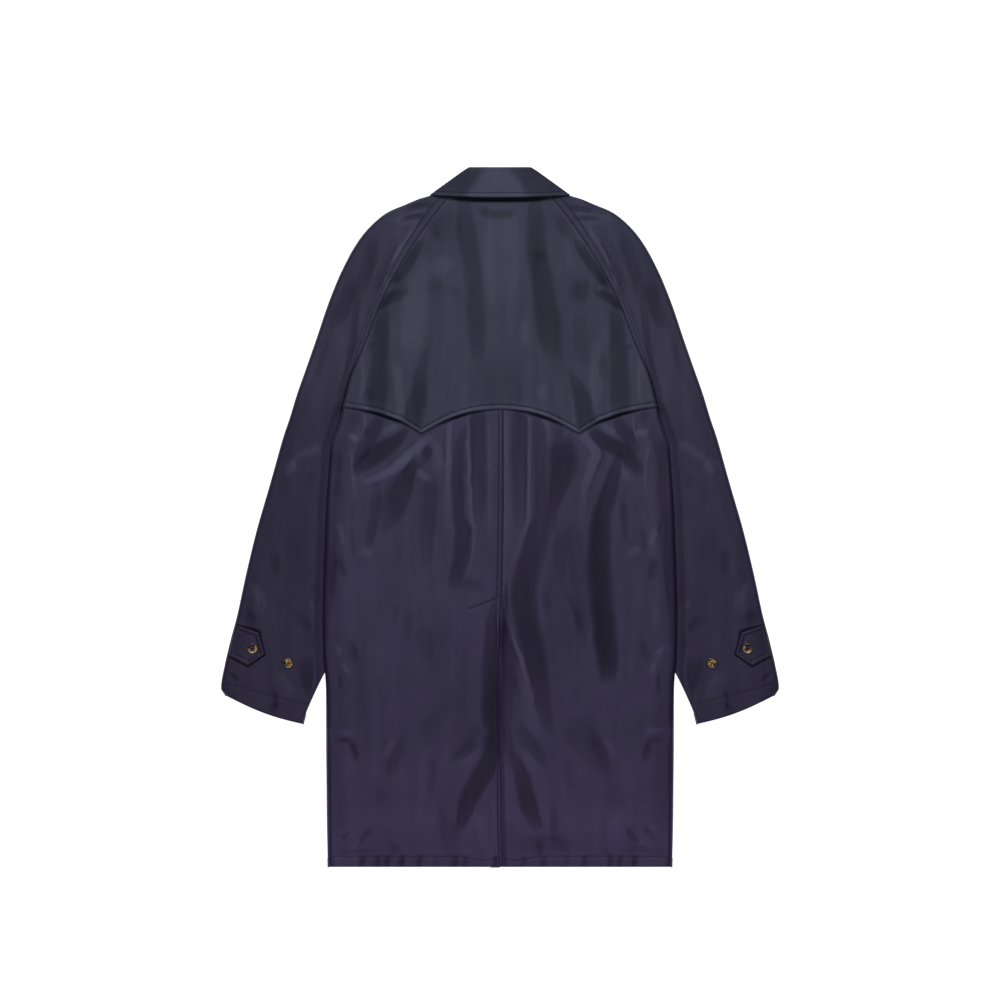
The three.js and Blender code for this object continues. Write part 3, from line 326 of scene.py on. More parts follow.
BACK_FOLDS = [
    # under the yoke, left: from the side to the centre
    (-208, 152, -208, 131, 10, 10, -1.2), (-194, 149, -200, 105, 3, 3, 1.4, 2),
    (-223, 121, -201, 110, 7, 7, 1.8), (-213, 105, -209, 26, 4.5, 3, 1.0),
    (-231, 98, -232, 60, 7, 7, -1.5), (-233, 60, -235, 26, 5, 5, -1.5), (-170, 118, -141, 134, 7, 7, 1.6),
    (-102, 103, -109, 73, 6, 6, -2.2), (-110, 77, -119, 67, 5, 5, -1.6), (-120, 65, -97, 50, 6, 6, 1.4),
    (-96, 110, -84, 62, 9, 10, 0.9), (-14, 152, -14, -42, 5, 5, 0.8), (-60, -92, -24, -103, 9, 9, -1.2),
    (-242, -36, -238, -116, 9, 9, -1.3), (-235, -56, -221, -88, 10, 9, -2.0),
    (-232, -4, -226, -44, 8, 8, 1.3), (-210, 30, -211, -8, 3, 3, -1.0),
    (-211, -11, -210, -60, 3.5, 3.5, -1.1), (-206, -48, -180, -57, 7, 7, 1.0),
    # under the yoke, right: from the centre to the side
    (10, 152, 10, -60, 6, 6, 0.8), (65, 147, 68, 102, 8, 8, 1.3), (94, 139, 94, 105, 7, 7, 1.0),
    (141, 135, 170, 117, 7, 7, 1.6), (87, -20, 86, -90, 12, 12, -1.3), (92, -97, 121, -174, 4, 6, -1.5),
    (63, -106, 66, -142, 6, 6, -1.1), (176, 32, 183, -44, 5.5, 5.5, -1.8), (171, 73, 191, 47, 7, 7, 1.3),
    (205, -46, 181, -57, 8, 8, 1.1), (206, 152, 206, 131, 10, 10, -1.2),
    (190, 149, 197, 105, 3, 3, 1.4, -2), (192, 121, 219, 117, 7, 7, 1.7),
    (211, 107, 208, 26, 4.5, 3, 1.0), (206, -12, 208, -56, 3.5, 3.5, -1.3),
    (229, 2, 231, -28, 4, 4, -1.2), (227, -14, 216, -48, 9, 9, 1.3), (225, -54, 213, -94, 10, 8, -2.0),
    (232, 110, 236, -60, 7, 8, -1.4), (225, -118, 226, -160, 8, 8, 0.7),
    # beside the vent
    (24, -216, 25, -268, 3, 3, -1.4), (-46, -312, -24, -303, 9, 9, -1.0),
    (-17, -300, -17, -318, 4, 4, 1.1), (-34, -314, -70, -352, 10, 9, -1.7),
    (-28, -334, -62, -356, 9, 9, 0.7), (22, -298, 44, -320, 8, 9, -1.0),
    (36, -314, 68, -356, 10, 9, -1.6), (28, -334, 60, -366, 10, 9, 0.7),
    # the lower part
    (-137, -308, -162, -380, 10, 9, -1.5), (-152, -316, -169, -347, 7, 7, 1.0),
    (131, -310, 159, -374, 10, 9, -1.6), (146, -318, 167, -348, 7, 7, 1.0),
    (-62, -250, -112, -320, 15, 17, -0.8), (-97, -338, -98, -398, 7, 7, -1.1),
    (-84, -410, -80, -482, 7, 6, -1.5), (-70, -428, -66, -468, 8, 8, -1.1),
    (-30, -422, -20, -478, 9, 9, 0.9), (-9, -388, -9, -484, 4, 4, 0.9),
    (-110, -152, -104, -208, 16, 16, -1.3), (-132, -132, -132, -182, 7, 7, -0.9),
    (-152, -122, -151, -162, 5, 5, -0.8), (99, -338, 100, -398, 10, 10, -1.1),
    (78, -410, 78, -460, 6, 6, -1.6), (70, -457, 106, -475, 8, 8, -1.4), (55, -457, 56, -494, 6, 6, -2.6),
    (-172, -380, -180, -424, 14, 14, -0.9), (162, -384, 172, -424, 14, 14, -0.9),
    (148, -440, 182, -464, 12, 12, 0.8), (16, -428, 14, -482, 9, 9, -0.8),
    # pinched places at the sides
    (-215, -174, -205, -210, 7, 7, -1.8), (-242, -183, -225, -199, 7, 7, 1.3),
    (-227, -207, -215, -226, 6, 6, 1.2), (-231, -226, -229, -248, 4, 4, -1.7),
    (-239, -318, -213, -322, 5, 5, -2.2), (-214, -319, -206, -354, 5, 6, -2.6),
    (-241, -307, -206, -309, 6, 6, 1.1), (204, -176, 212, -210, 7, 7, -1.6),
    (242, -183, 222, -198, 8, 8, 1.2), (226, -206, 215, -226, 6, 6, 1.0),
    (227, -224, 228, -256, 4, 4, -1.5), (216, -318, 205, -354, 6, 6, -2.2),
    (215, -319, 237, -323, 5, 5, -1.5), (239, -306, 205, -308, 6, 6, 1.0),
    # above the hem's corners
    (-215, -445, -230, -464, 4, 4, -2.0), (-183, -447, -204, -471, 5, 4, -2.3),
    (-199, -461, -214, -476, 2.6, 2.6, 1.6), (-242, -449, -212, -446, 4, 4, 1.1),
    (-246, -477, -176, -478, 5, 5, -1.7), (-158, -469, -147, -483, 6, 6, -2.1),
    (206, -445, 227, -468, 4, 4, -2.1), (180, -447, 198, -471, 5, 4, -2.3),
    (199, -461, 213, -476, 2.6, 2.6, 1.6), (240, -450, 212, -446, 4, 4, 1.1),
    (246, -477, 176, -478, 5, 5, -1.7), (146, -473, 159, -485, 6, 6, -1.9),
]

SLEEVE_FOLDS = [
    # the shoulder
    (97, 444, 134, 440, 5, 5, -2.0), (103, 437, 166, 425, 4, 4, 1.3), (100, 426, 152, 429, 4, 4, -1.8),
    (114, 419, 152, 421, 4, 5, 0.9), (118, 421, 166, 344, 5, 5, 1.3, 4), (165, 348, 164, 324, 4, 4, 1.0),
    (178, 404, 203, 312, 10, 12, -1.8), (208, 342, 240, 266, 13, 13, -2.3),
    (150, 398, 182, 340, 6, 6, 0.8), (246, 262, 268, 190, 10, 10, -0.9),
    # the arm
    (315, 62, 290, 79, 12, 10, 1.7), (298, 80, 252, 106, 7, 9, 1.2), (268, 62, 274, 36, 8, 8, -0.8),
    (324, -46, 321, -90, 8, 8, -1.7), (360, -94, 338, -134, 12, 12, 1.3),
    (346, -98, 341, -136, 2.5, 2.5, -0.9), (368, -128, 351, -157, 10, 12, -1.9),
    (262, -92, 261, -124, 7, 7, -1.6), (273, -124, 261, -134, 6, 6, 1.3),
    (289, -140, 269, -168, 9, 9, -1.5), (264, -166, 262, -192, 6, 6, -1.3),
    (300, -20, 296, -70, 14, 14, -0.7),
    # the cuff
    (318, -224, 296, -262, 12, 12, 1.0), (324, -246, 325, -274, 4, 4, -2.0),
    (317, -267, 336, -277, 8, 8, -1.5), (388, -221, 373, -235, 4, 4, -2.0),
    (395, -236, 388, -251, 5, 5, -1.4),
]

FOLD_DEPTH = 0.38  # of a fold's rise, what it stands up or lies down in millimetres
PAINTED_SHADE_RISE = 3.0  # the rise at which a trough is painted one full step darker, and rougher, than the open cloth
PAINTED_HIGHLIGHT_RISE = 1.8  # and a ridge one step lighter, a painted highlight, and glossier
LONG_DEPTH = 0.9  # of a long fold's shade, what it stands up or lies down in millimetres

# ---- Helpers ----


def ease(start, end, value):
    """0 at start, 1 at end, smooth between."""
    t = np.clip((np.asarray(value, float) - start) / (end - start), 0, 1)
    return t * t * (3 - 2 * t)


def fade(start, end, value):
    """1 at start, 0 at end, smooth between."""
    return 1 - ease(start, end, value)


def bell(distance, width):
    """1 where the distance is 0, falling away to nothing over about twice the width."""
    return np.exp(-((distance / width) ** 2))


def steps(start, end, pitch):
    """Even steps of about the given pitch, with both ends."""
    return np.linspace(start, end, max(2, int(round(abs(end - start) / pitch)) + 1))


def pairs(x, y):
    """Points in plan from their coordinates."""
    return np.stack([x, y], -1)


def smooth(xs, ys):
    """A smooth function through the points; xs must rise."""
    xs, ys = np.asarray(xs, float), np.asarray(ys, float)
    slope = np.gradient(ys, xs)

    def value(x):
        x = np.clip(x, xs[0], xs[-1])
        i = np.clip(np.searchsorted(xs, x) - 1, 0, len(xs) - 2)
        h = xs[i + 1] - xs[i]
        t = (x - xs[i]) / h
        a = (1 + 2 * t) * (1 - t) ** 2 * ys[i] + t * t * (3 - 2 * t) * ys[i + 1]
        return a + h * (t * (1 - t) ** 2 * slope[i] - t * t * (1 - t) * slope[i + 1])

    return value


def lines_of(rows):
    """Smooth functions through a table's columns, of the place between its rows."""
    return {name: smooth(np.arange(len(column)), column) for name, column in rows.items()}


def ripple(x, y, size, seed):
    """Even, unrepeating unevenness between -1 and 1 with features of about the given size."""
    rng = np.random.default_rng(seed)
    grid = rng.uniform(-1, 1, (64, 64))
    u, v = np.asarray(x) / size + 31.3, np.asarray(y) / size + 17.9
    i, j = np.floor(u).astype(int), np.floor(v).astype(int)
    a, b = u - i, v - j
    a, b = a * a * (3 - 2 * a), b * b * (3 - 2 * b)
    g = lambda p, q: grid[p % 64, q % 64]
    low = g(i, j) * (1 - a) + g(i + 1, j) * a
    high = g(i, j + 1) * (1 - a) + g(i + 1, j + 1) * a
    return low * (1 - b) + high * b


body_half = smooth(BODY["y"], BODY["half"])
centre_seam = smooth(CENTRE_SEAM["y"], CENTRE_SEAM["x"])


def yoke_edge(x):
    """Height of the yoke's free edge."""
    return np.interp(np.abs(x), YOKE_EDGE["x"], YOKE_EDGE["y"])


def fold_path(x0, y0, x1, y1, bend=0):
    """Points along a short fold."""
    length = math.hypot(x1 - x0, y1 - y0)
    side = np.array([-(y1 - y0), x1 - x0]) / length
    middle = np.array([(x0 + x1) / 2, (y0 + y1) / 2]) + 2 * bend * side
    s = np.linspace(0, 1, 15 if bend else 2)[:, None]
    return (1 - s) ** 2 * (x0, y0) + 2 * s * (1 - s) * middle + s * s * (x1, y1)


def nearest(path, px, py):
    """How far points lie from a path, and beside which share of its length."""
    best = np.full(px.shape, 1e9)
    share = np.zeros_like(px)
    for i in range(len(path) - 1):
        a, d = path[i], path[i + 1] - path[i]
        t = np.clip(((px - a[0]) * d[0] + (py - a[1]) * d[1]) / (d @ d), 0, 1)
        away = np.hypot(px - a[0] - t * d[0], py - a[1] - t * d[1])
        closer = away < best
        best[closer] = away[closer]
        share[closer] = (i + t[closer]) / (len(path) - 1)
    return best, share


def around(x, y, path_x, path_y, reach):
    """Which points lie within reach of the box round a path."""
    beside = (x > path_x.min() - reach) & (x < path_x.max() + reach)
    return beside & (y > path_y.min() - reach) & (y < path_y.max() + reach)


def folded(folds, x, y, mirrored=False):
    """What short folds add at the points: height, and painted light, below zero painted shade on
    rougher cloth and above zero a painted highlight on glossier cloth. The folds
    wander a little off their lines. Mirrored folds are given for the wearer's right."""
    x, y = np.asarray(x, float), np.asarray(y, float)
    wander_x = 2.4 * ripple(x, y, 30, 31) + 1.1 * ripple(x, y, 9, 32)
    wander_y = 3.5 * ripple(x, y, 34, 33)
    x, y = (np.abs(x) if mirrored else x) + wander_x, y + wander_y
    height, tone_and_painted_light = np.zeros_like(x), np.zeros_like(x)
    for x0, y0, x1, y1, wide0, wide1, rise, *bend in folds:
        path = fold_path(x0, y0, x1, y1, *bend)
        near = around(x, y, *path.T, 1.8 * max(wide0, wide1))
        if not near.any():
            continue
        away, share = nearest(path, x[near], y[near])
        wide = wide0 + (wide1 - wide0) * share
        taper = ease(0, 0.35, share) * ease(1, 0.65, share)
        height[near] += FOLD_DEPTH * rise * taper * np.exp(-2 * (away / wide) ** 2)
        # The shade has a flat middle and a soft foot, and narrows a little at its ends.
        ends = ease(-0.08, 0.3, share) * ease(1.08, 0.7, share)
        t = away / (wide * (0.75 + 0.25 * ends))
        shade = rise / (PAINTED_SHADE_RISE if rise < 0 else PAINTED_HIGHLIGHT_RISE)
        tone_and_painted_light[near] += shade * ends * (0.7 * fade(0.5, 1.1, t) + 0.3 * np.exp(-1.2 * t * t))
    return height, tone_and_painted_light


def long_paths(folds):
    """The long folds as smooth paths: x, y, left and right reach, and shade at close places."""
    paths = []
    for fold in folds:
        index = np.arange(len(fold))
        fine = np.linspace(0, index[-1], 6 * (len(index) - 1) + 1)
        paths.append([smooth(index, column)(fine) for column in zip(*fold)])
    return paths


def long_folded(paths, x, y):
    """What long folds add at the points: height and painted light and shade."""
    x, y = np.asarray(x, float), np.asarray(y, float)
    x, y = x + 1.2 * ripple(x, y, 17, 41), y + 2.0 * ripple(x, y, 25, 43)
    tone_and_painted_light = np.zeros_like(x)
    for px, py, left, right, shade in paths:
        near = around(x, y, px, py, 1.2 * max(left.max(), right.max()))
        if not near.any():
            continue
        dx, dy = np.diff(px), np.diff(py)
        ex, ey = x[near][:, None] - px[:-1], y[near][:, None] - py[:-1]
        t = np.clip((ex * dx + ey * dy) / (dx**2 + dy**2), 0, 1)
        ex, ey = ex - t * dx, ey - t * dy
        away = np.hypot(ex, ey)
        k = away.argmin(1)
        row = np.arange(len(k))
        place = k + t[row, k]
        index = np.arange(len(px))
        on_left = dx[k] * ey[row, k] - dy[k] * ex[row, k] > 0
        wide = np.where(on_left, np.interp(place, index, left), np.interp(place, index, right))
        share = away[row, k] / np.maximum(wide, 0.5)
        tone_and_painted_light[near] += np.interp(place, index, shade) * fade(0.45, 1.15, share)
    return LONG_DEPTH * tone_and_painted_light, tone_and_painted_light


def folds_of(short, long, mirrored=False):
    """A function that tells what a piece's short and long folds add: height and painted light and shade.
    """
    paths = long_paths(long)

    def added(x, y):
        long_x = np.abs(x) if mirrored else x
        return np.add(folded(short, x, y, mirrored), long_folded(paths, long_x, y))

    return added


yoke_folded = folds_of(YOKE_FOLDS, YOKE_LONG)
back_folded = folds_of(BACK_FOLDS, BACK_LONG)
sleeve_folded = folds_of(SLEEVE_FOLDS, SLEEVE_LONG, mirrored=True)

# ---- Heights of the layers ----


def over_sleeve(x, y):
    """How far the body is lifted by the sleeve it lies on, 0 to 1."""
    inset = body_half(y) - np.abs(x)
    across = fade(TUCK_WIDTH, TUCK_WIDTH + 30, inset)
    return across * ease(FLAT_Y, EMERGE_Y, y) * ease(UNDERARM_Y, TUCK_Y, y)


def over_collar(x, y):
    """How much the collar's points lift the layer that lies on them."""
    return NECK_LIFT * ease(312, 340, y) * fade(110, 140, np.abs(x))


def front_low(x, y):
    """Outer face of the two fronts."""
    return SLEEVE_STACK * over_sleeve(x, y) + over_collar(x, y)


def flank(x):
    """How far the yoke's free edge stands off the back along its length, 0 to 1."""
    return 0.75 * bell(np.abs(x) - 62, 26) + bell(np.abs(x) - 165, 30)


def yoke_stitch(x):
    """The topstitching's line, a constant distance inside the yoke's free edge."""
    x = np.asarray(x, float)
    near = x[..., None] + np.linspace(-YOKE_STITCH, YOKE_STITCH, 41)
    reach = np.sqrt(np.clip(YOKE_STITCH**2 - (near - x[..., None]) ** 2, 0, None))
    return (yoke_edge(near) + reach).max(-1)


def yoke_square(x):
    """Turns a height above the yoke's free edge into a distance square to it."""
    slope = (yoke_edge(x + 2) - yoke_edge(x - 2)) / 4
    return 1 / np.sqrt(1 + slope**2)


def collar_line(x):
    """Where the dip under the collar's edge and the painted shadow there end."""
    return 450.5 + 8.5 * np.minimum(np.abs(x) / 95, 1.1) ** 3.1


def neck_dip(x, y):
    """The yoke falls away to the neck seam under the collar."""
    return ease(collar_line(x) - 1.5, collar_line(x) + 3.5, y)


def collar_painted_shadow(x, y):
    """How deep in the painted shadow under the collar the cloth lies, 0 to 1."""
    return ease(collar_line(x) - 3.0, collar_line(x) + 2.0, y) * ease(108, 98, np.abs(x))


def yoke_top(x, y):
    """Outer face of the yoke, without its turned edges."""
    inset = body_half(y) - np.abs(x)
    lowered = ease(150, 260, y)
    top = YOKE_TOP - (1.0 + lowered) * fade(0, 34, inset)
    above = y - yoke_edge(x)
    top = top + (0.7 + 2.0 * flank(x)) * fade(0, 18, above) * ease(0, 20, inset)
    free = ease(0, 26, inset)
    top = top + free * (yoke_folded(x, y)[0] + 0.2 * ripple(x, y, 24, 9))
    return top + (NECK_TOP - top) * neck_dip(x, y) * ease(0, 20, inset)


def back_top(x, y):
    """Outer face of the two back panels, without the rolls at their edges."""
    inset = body_half(y) - np.abs(x)
    below = yoke_edge(x) - y
    open_top = BACK_TOP - 1.5 * fade(0, 30, inset)
    open_top = open_top + (HEM_TOP - open_top) * fade(0, 70, y - HEM_Y)
    free = ease(2, 22, inset) * ease(14, 60, y - HEM_Y) * ease(-2, 14, below)
    open_top = open_top + free * (back_folded(x, y)[0] + 0.25 * ripple(x, y, 26, 5))
    gap = 0.5 + 3.2 * flank(x) * ease(0, 24, inset)
    open_top = open_top - gap * fade(1.5, 4.0 + 1.6 * flank(x), below)
    hidden = np.minimum(BACK_UNDER_YOKE, yoke_top(x, y) - 1.5 * WALL)
    hidden = np.maximum(hidden - 1.6 * fade(0, 14, inset) - 2.0 * ease(418, 436, y), 1.3)
    return hidden + (open_top - hidden) * ease(-7, -1, below)


def sleeve_top(x, y, to_outer):
    """Outer face of the sleeves, without the rolls at their edges."""
    outside = np.abs(x) - body_half(y)
    joined = ease(YOKE_SIDE_Y - 12, YOKE_SIDE_Y + 30, y)
    tucked = SLEEVE_TUCKED + (SLEEVE_TOP - SLEEVE_TUCKED) * ease(-2, 16, outside)
    seam = SLEEVE_TOP + 0.6 * fade(7, 16, outside)
    top = tucked + (seam - tucked) * joined
    top = top - 1.2 * fade(0, 26, to_outer)
    free = ease(6, 22, outside) * ease(0, 16, to_outer)
    return top + free * (sleeve_folded(x, y)[0] + 0.2 * ripple(x, y, 22, 13))


# ---- Painted light and shade ----
# Painted light goes into the cloth's colour: below zero painted shade, above zero a painted highlight.
# The same value also makes the cloth rougher or glossier.

PUCKER_SLANT = 0.12


def hem_line(x):
    """Height of the hem's topstitching above the hem."""
    return HEM_STITCH - 5.5 * bell(np.abs(x) - 22, 20)


def puckers(x, up, width, top):
    """The small slanted puckers between the hem and its stitches, which end at the given top."""
    total = 0
    for place, size in zip(HEM_PUCKERS["x"], HEM_PUCKERS["size"]):
        total = total + size * bell(x - place - PUCKER_SLANT * (up - 7), width)
    return total * fade(10, top, up)


def hem_painted_light(x, y):
    """Painted light on the hem: a painted highlight at its edge, painted shade on the turned band, at its
    stitches and in its puckers.
    """
    up = y - HEM_Y
    line = hem_line(x)
    band = fade(line - 2.5, line - 0.5, up)
    shade = 1.2 * fade(0.4, 2.5, up) - 0.35 * band - 0.7 * bell(up - line, 1.3)
    return shade - 0.95 * puckers(x, up, 3.6, 18)


def seam_painted_light(x, y):
    """Painted shade along the centre seam and the topstitching beside it, which are sunk into the cloth,
    with painted highlights beside them.
    """
    away = x - centre_seam(y)
    lit = 0.5 * bell(away + 2.4, 1.8) + 0.5 * bell(away - 3, 2)
    painted_shade = 0.5 * bell(away, 1.0) + 0.8 * bell(away + CENTRE_STITCH, 1.1)
    return ease(VENT_TOP_Y - 4, VENT_TOP_Y + 6, y) * (lit - painted_shade)


def vent_painted_light(x, y):
    """Painted shade along the slanted row of stitching at the top of the vent, with a painted highlight
    beside it.
    """
    (low_x, high_x), (low_y, high_y) = VENT_STITCH["x"], VENT_STITCH["y"]
    along = (x - high_x) / (low_x - high_x)
    off = y - high_y - (low_y - high_y) * along
    return (0.5 * bell(off + 3, 1.8) - 1.3 * bell(off, 1.1)) * (along > -0.1) * (along < 1)


def back_painted_glow(x, y):
    """Painted light on the lower part of the back, most of all along the vent."""
    painted_glow = 0.3 * ease(-310, -370, y) + 0.35 * ease(-400, -445, y) - 0.1 * ease(-180, -260, y)
    vent = ease(VENT_TOP_Y, VENT_TOP_Y - 20, y) * ease(HEM_Y + 20, HEM_Y + 60, y)
    painted_glow = painted_glow + 0.6 * bell(x - 4, 3) * vent
    painted_glow = painted_glow + 1.2 * bell(x - 6.2, 3.2) * ease(-315, -350, y)
    return painted_glow + 0.35 * ease(180, 215, np.abs(x)) * ease(-430, -450, y)


def back_painted_light(x, y):
    """Painted light and shade on the backs: folds, a painted shadow under the yoke's edge, painted shade
    on the side rolls, painted highlights at the edges, and painted shade and highlights at the seams,
    stitches and hem.
    """
    inset = body_half(y) - np.abs(x)
    below = yoke_edge(x) - y
    open_cloth = back_folded(x, y)[1] * ease(10, 22, y - HEM_Y)
    # painted shadow under the yoke's free edge, deeper where the edge stands off
    gap = (1.2 + 1.6 * flank(x)) * fade(1.0 + 1.5 * flank(x), 2.2 + 2.4 * flank(x), below)
    # painted shade on the roll at each side
    reach = np.interp(y, SIDE_SHADE["y"], SIDE_SHADE["reach"])
    depth = np.interp(y, SIDE_SHADE["y"], SIDE_SHADE["depth"]) * np.where(x < 0, LEFT_SHADE, 1)
    side = depth * fade(reach - 4, reach + 2, inset)
    # painted highlights along the body's edges, near the underarm and low down
    rim = 2.6 * fade(1.0, 3.5, inset) * ease(88, 108, y)
    rim = rim + 0.9 * fade(0, 3.5, inset) * ease(-380, -420, y)
    shade = open_cloth - gap - side + rim + back_painted_glow(x, y)
    return shade + seam_painted_light(x, y) + hem_painted_light(x, y) + vent_painted_light(x, y)


def yoke_painted_light(x, y):
    """Painted light and shade on the yoke: folds, a painted highlight on the band at its free edge,
    painted shade at its stitches, painted highlights at its sides and a painted shadow under the collar.
    """
    above = (y - yoke_edge(x)) * yoke_square(np.abs(x))
    # a painted highlight on the band below the stitches, painted shade at them
    band = fade(YOKE_STITCH - 1.6, YOKE_STITCH - 0.6, above)
    hem = 0.75 * band - 0.7 * bell(above - YOKE_STITCH, 0.9)
    inset = body_half(y) - np.abs(x)
    # painted highlights at the yoke's sides
    rim = 0.6 * ease(5, 2, inset) * ease(YOKE_SIDE_Y, 200, y)
    return yoke_folded(x, y)[1] + hem + rim - 3.2 * collar_painted_shadow(x, y)


def sleeve_painted_light(x, y, to_outer):
    """Painted light and shade on the sleeves: folds, a painted shadow beside the body with a painted
    highlight further out, painted shadow round the tab and in the crease at the underarm, painted
    shade along the arm and painted highlights along the overarm."""
    ax = np.abs(x)
    outside = ax - body_half(y)
    beside = ease(YOKE_SIDE_Y + 6, YOKE_SIDE_Y - 20, y) * ease(EMERGE_Y, EMERGE_Y + 20, y)
    # painted shadow just beside the body's side, a painted highlight a little further out
    dark = 1.2 * fade(0.3, 1.8, outside)
    bright = 1.7 * ease(0.8, 2.2, outside) * fade(7, 16, outside)
    # painted shade in the crease at the underarm
    crease = 3.2 * fade(1.0, 5.0, outside) * ease(240, 205, y)
    crease = crease * ease(YOKE_SIDE_Y - 20, YOKE_SIDE_Y, y)
    # painted shadow round the tab, wider where its upper corner stands off the sleeve
    lifted = bell(np.hypot(ax - 350, y + 161), 15)  # the tab's upper corner stands off the sleeve
    tab_shadow = 2.6 * fade(0.8 + 2.6 * lifted, 2.4 + 3.2 * lifted, from_tab_edge(ax, y))
    # painted shade along the arm, more on the left sleeve, and more again toward the cuff
    arm = np.where(x < 0, -0.5, -0.25) * ease(-160, 0, y) * ease(200, 120, y) - 0.35 * ease(0, -140, y)
    # painted highlights along the overarm edge and at the shoulder
    rim = 1.4 * fade(0.5, 6, to_outer)
    rim = rim + 0.35 * fade(8, 34, to_outer) * ease(160, 215, y) * ease(290, 250, y)
    shade = sleeve_folded(x, y)[1] + arm + rim - (dark - bright) * beside
    return shade - crease - tab_shadow - 3.0 * collar_painted_shadow(x, y)


def leaf_painted_light(x, y, inset):
    """Painted highlight on the leaf in the middle of the back, painted shade where it turns to the sides,
    and painted highlights near its edge and at its corners.
    """
    half = 17 + 0.66 * (COLLAR_Y - y)
    middle = fade(half - 8, half + 9, np.abs(x + 4))
    corner = bell(np.abs(x) - 89, 6) * fade(1, 3, inset)
    return 0.55 * middle - 0.75 * (1 - middle) + 0.4 * fade(5, 7, inset) + 1.2 * corner


# ---- Meshes ----


def put(points):
    """Millimetres to the frame's metres."""
    return np.asarray(points, float) * MM + np.array(MIDDLE)


def make_mesh(name, points, faces, material, tone_and_painted_light=None):
    """A piece in the scene from points in millimetres, with smooth faces and sharp edges."""
    mesh = bpy.data.meshes.new(name)
    mesh.from_pydata(put(points).tolist(), [], faces)
    if tone_and_painted_light is not None:
        mesh.attributes.new("tone_and_painted_light", "FLOAT", "POINT").data.foreach_set("value", tone_and_painted_light.astype(np.float32))
    mesh.validate()
    mesh.shade_smooth()
    mesh.set_sharp_from_angle(angle=math.radians(50))
    mesh.materials.append(material)
    piece = bpy.data.objects.new(name, mesh)
    bpy.context.scene.collection.objects.link(piece)
    return piece


def shell(name, outer, material, flip=False, tone_and_painted_light=None, normal=None):
    """A closed wall of cloth. outer is rows x columns x 3; columns run to +X and rows to +Y where
    the outer face looks up, and flip turns that round. tone_and_painted_light is one value for each outer
    point."""
    rows, cols = outer.shape[:2]
    if normal is None:
        normal = np.cross(np.gradient(outer, axis=1), np.gradient(outer, axis=0)) * (-1 if flip else 1)
    normal = normal / (np.linalg.norm(normal, axis=2, keepdims=True) + 1e-9)
    inner = outer - WALL * normal
    inner[..., 2] = np.maximum(inner[..., 2], 0)  # never below the floor
    points = np.concatenate([outer.reshape(-1, 3), inner.reshape(-1, 3)])
    n = rows * cols
    at = np.arange(n).reshape(rows, cols)
    up = np.stack([at[:-1, :-1], at[:-1, 1:], at[1:, 1:], at[1:, :-1]], -1).reshape(-1, 4)
    down = up[:, ::-1] + n
    loop = np.concatenate([at[0, :], at[1:, -1], at[-1, -2::-1], at[-2:0:-1, 0]])
    after = np.roll(loop, -1)
    rim = np.stack([loop + n, after + n, after, loop], -1)
    faces = np.concatenate([up, down, rim])
    if flip:
        faces = faces[:, ::-1]
    if tone_and_painted_light is not None:
        tone_and_painted_light = np.concatenate([tone_and_painted_light.ravel(), tone_and_painted_light.ravel()])
    piece = make_mesh(name, points, faces.tolist(), material, tone_and_painted_light)
    cut_of(outer)
    return piece


def cut_of(outer):
    """The flat cut of a sheet from its outer points: width, length and area, in metres."""
    across = np.linalg.norm(np.diff(outer, axis=1), axis=2).sum(1).max()
    along = np.linalg.norm(np.diff(outer, axis=0), axis=2).sum(0).max()
    a, b = outer[1:, 1:] - outer[:-1, :-1], outer[1:, :-1] - outer[:-1, 1:]
    area = np.linalg.norm(np.cross(a, b), axis=2).sum() / 2
    return across * MM, along * MM, area * MM * MM


def disc(name, rings, material, tone_and_painted_light):
    """A closed solid from rings of points, each n x 3, from the middle of the top round to the
    middle of the underside. tone_and_painted_light is one value for each point of each ring."""
    n = len(rings[0])
    points = np.concatenate([[np.mean(rings[0], 0)], *rings, [np.mean(rings[-1], 0)]])
    last = len(points) - 1
    faces = []
    for i in range(n):
        j = (i + 1) % n
        faces.append((0, 1 + i, 1 + j))
        for k in range(len(rings) - 1):
            a, b = 1 + k * n, 1 + (k + 1) * n
            faces.append((a + i, b + i, b + j, a + j))
        faces.append((1 + (len(rings) - 1) * n + j, 1 + (len(rings) - 1) * n + i, last))
    tone_and_painted_light = np.concatenate([[tone_and_painted_light[0].mean()], *tone_and_painted_light, [0]])
    return make_mesh(name, points, faces, material, tone_and_painted_light)


class Surface:
    """Finds the top of finished pieces at points in plan."""

    def __init__(self, *objects):
        self.trees = [
            BVHTree.FromPolygons([v.co for v in o.data.vertices], [p.vertices for p in o.data.polygons])
            for o in objects
        ]

    def at(self, line):
        """Points (x, y) with their heights, in millimetres."""
        out = []
        for x, y in line:
            start = Vector(put([x, y, 60.0]))
            hits = [tree.ray_cast(start, Vector((0, 0, -1)))[0] for tree in self.trees]
            hits = [h.z for h in hits if h is not None]
            if hits:
                out.append((x, y, (max(hits) - MIDDLE.z) / MM))
        return np.array(out)


# A stitch from end to end: share of its length, lift in millimetres and share of its radius.
STITCH = ((0, -0.34, 0.55), (0.18, 0.02, 0.9), (0.5, 0.12, 1.0), (0.82, 0.02, 0.9), (1, -0.34, 0.55))
STITCH_SIDES = 6


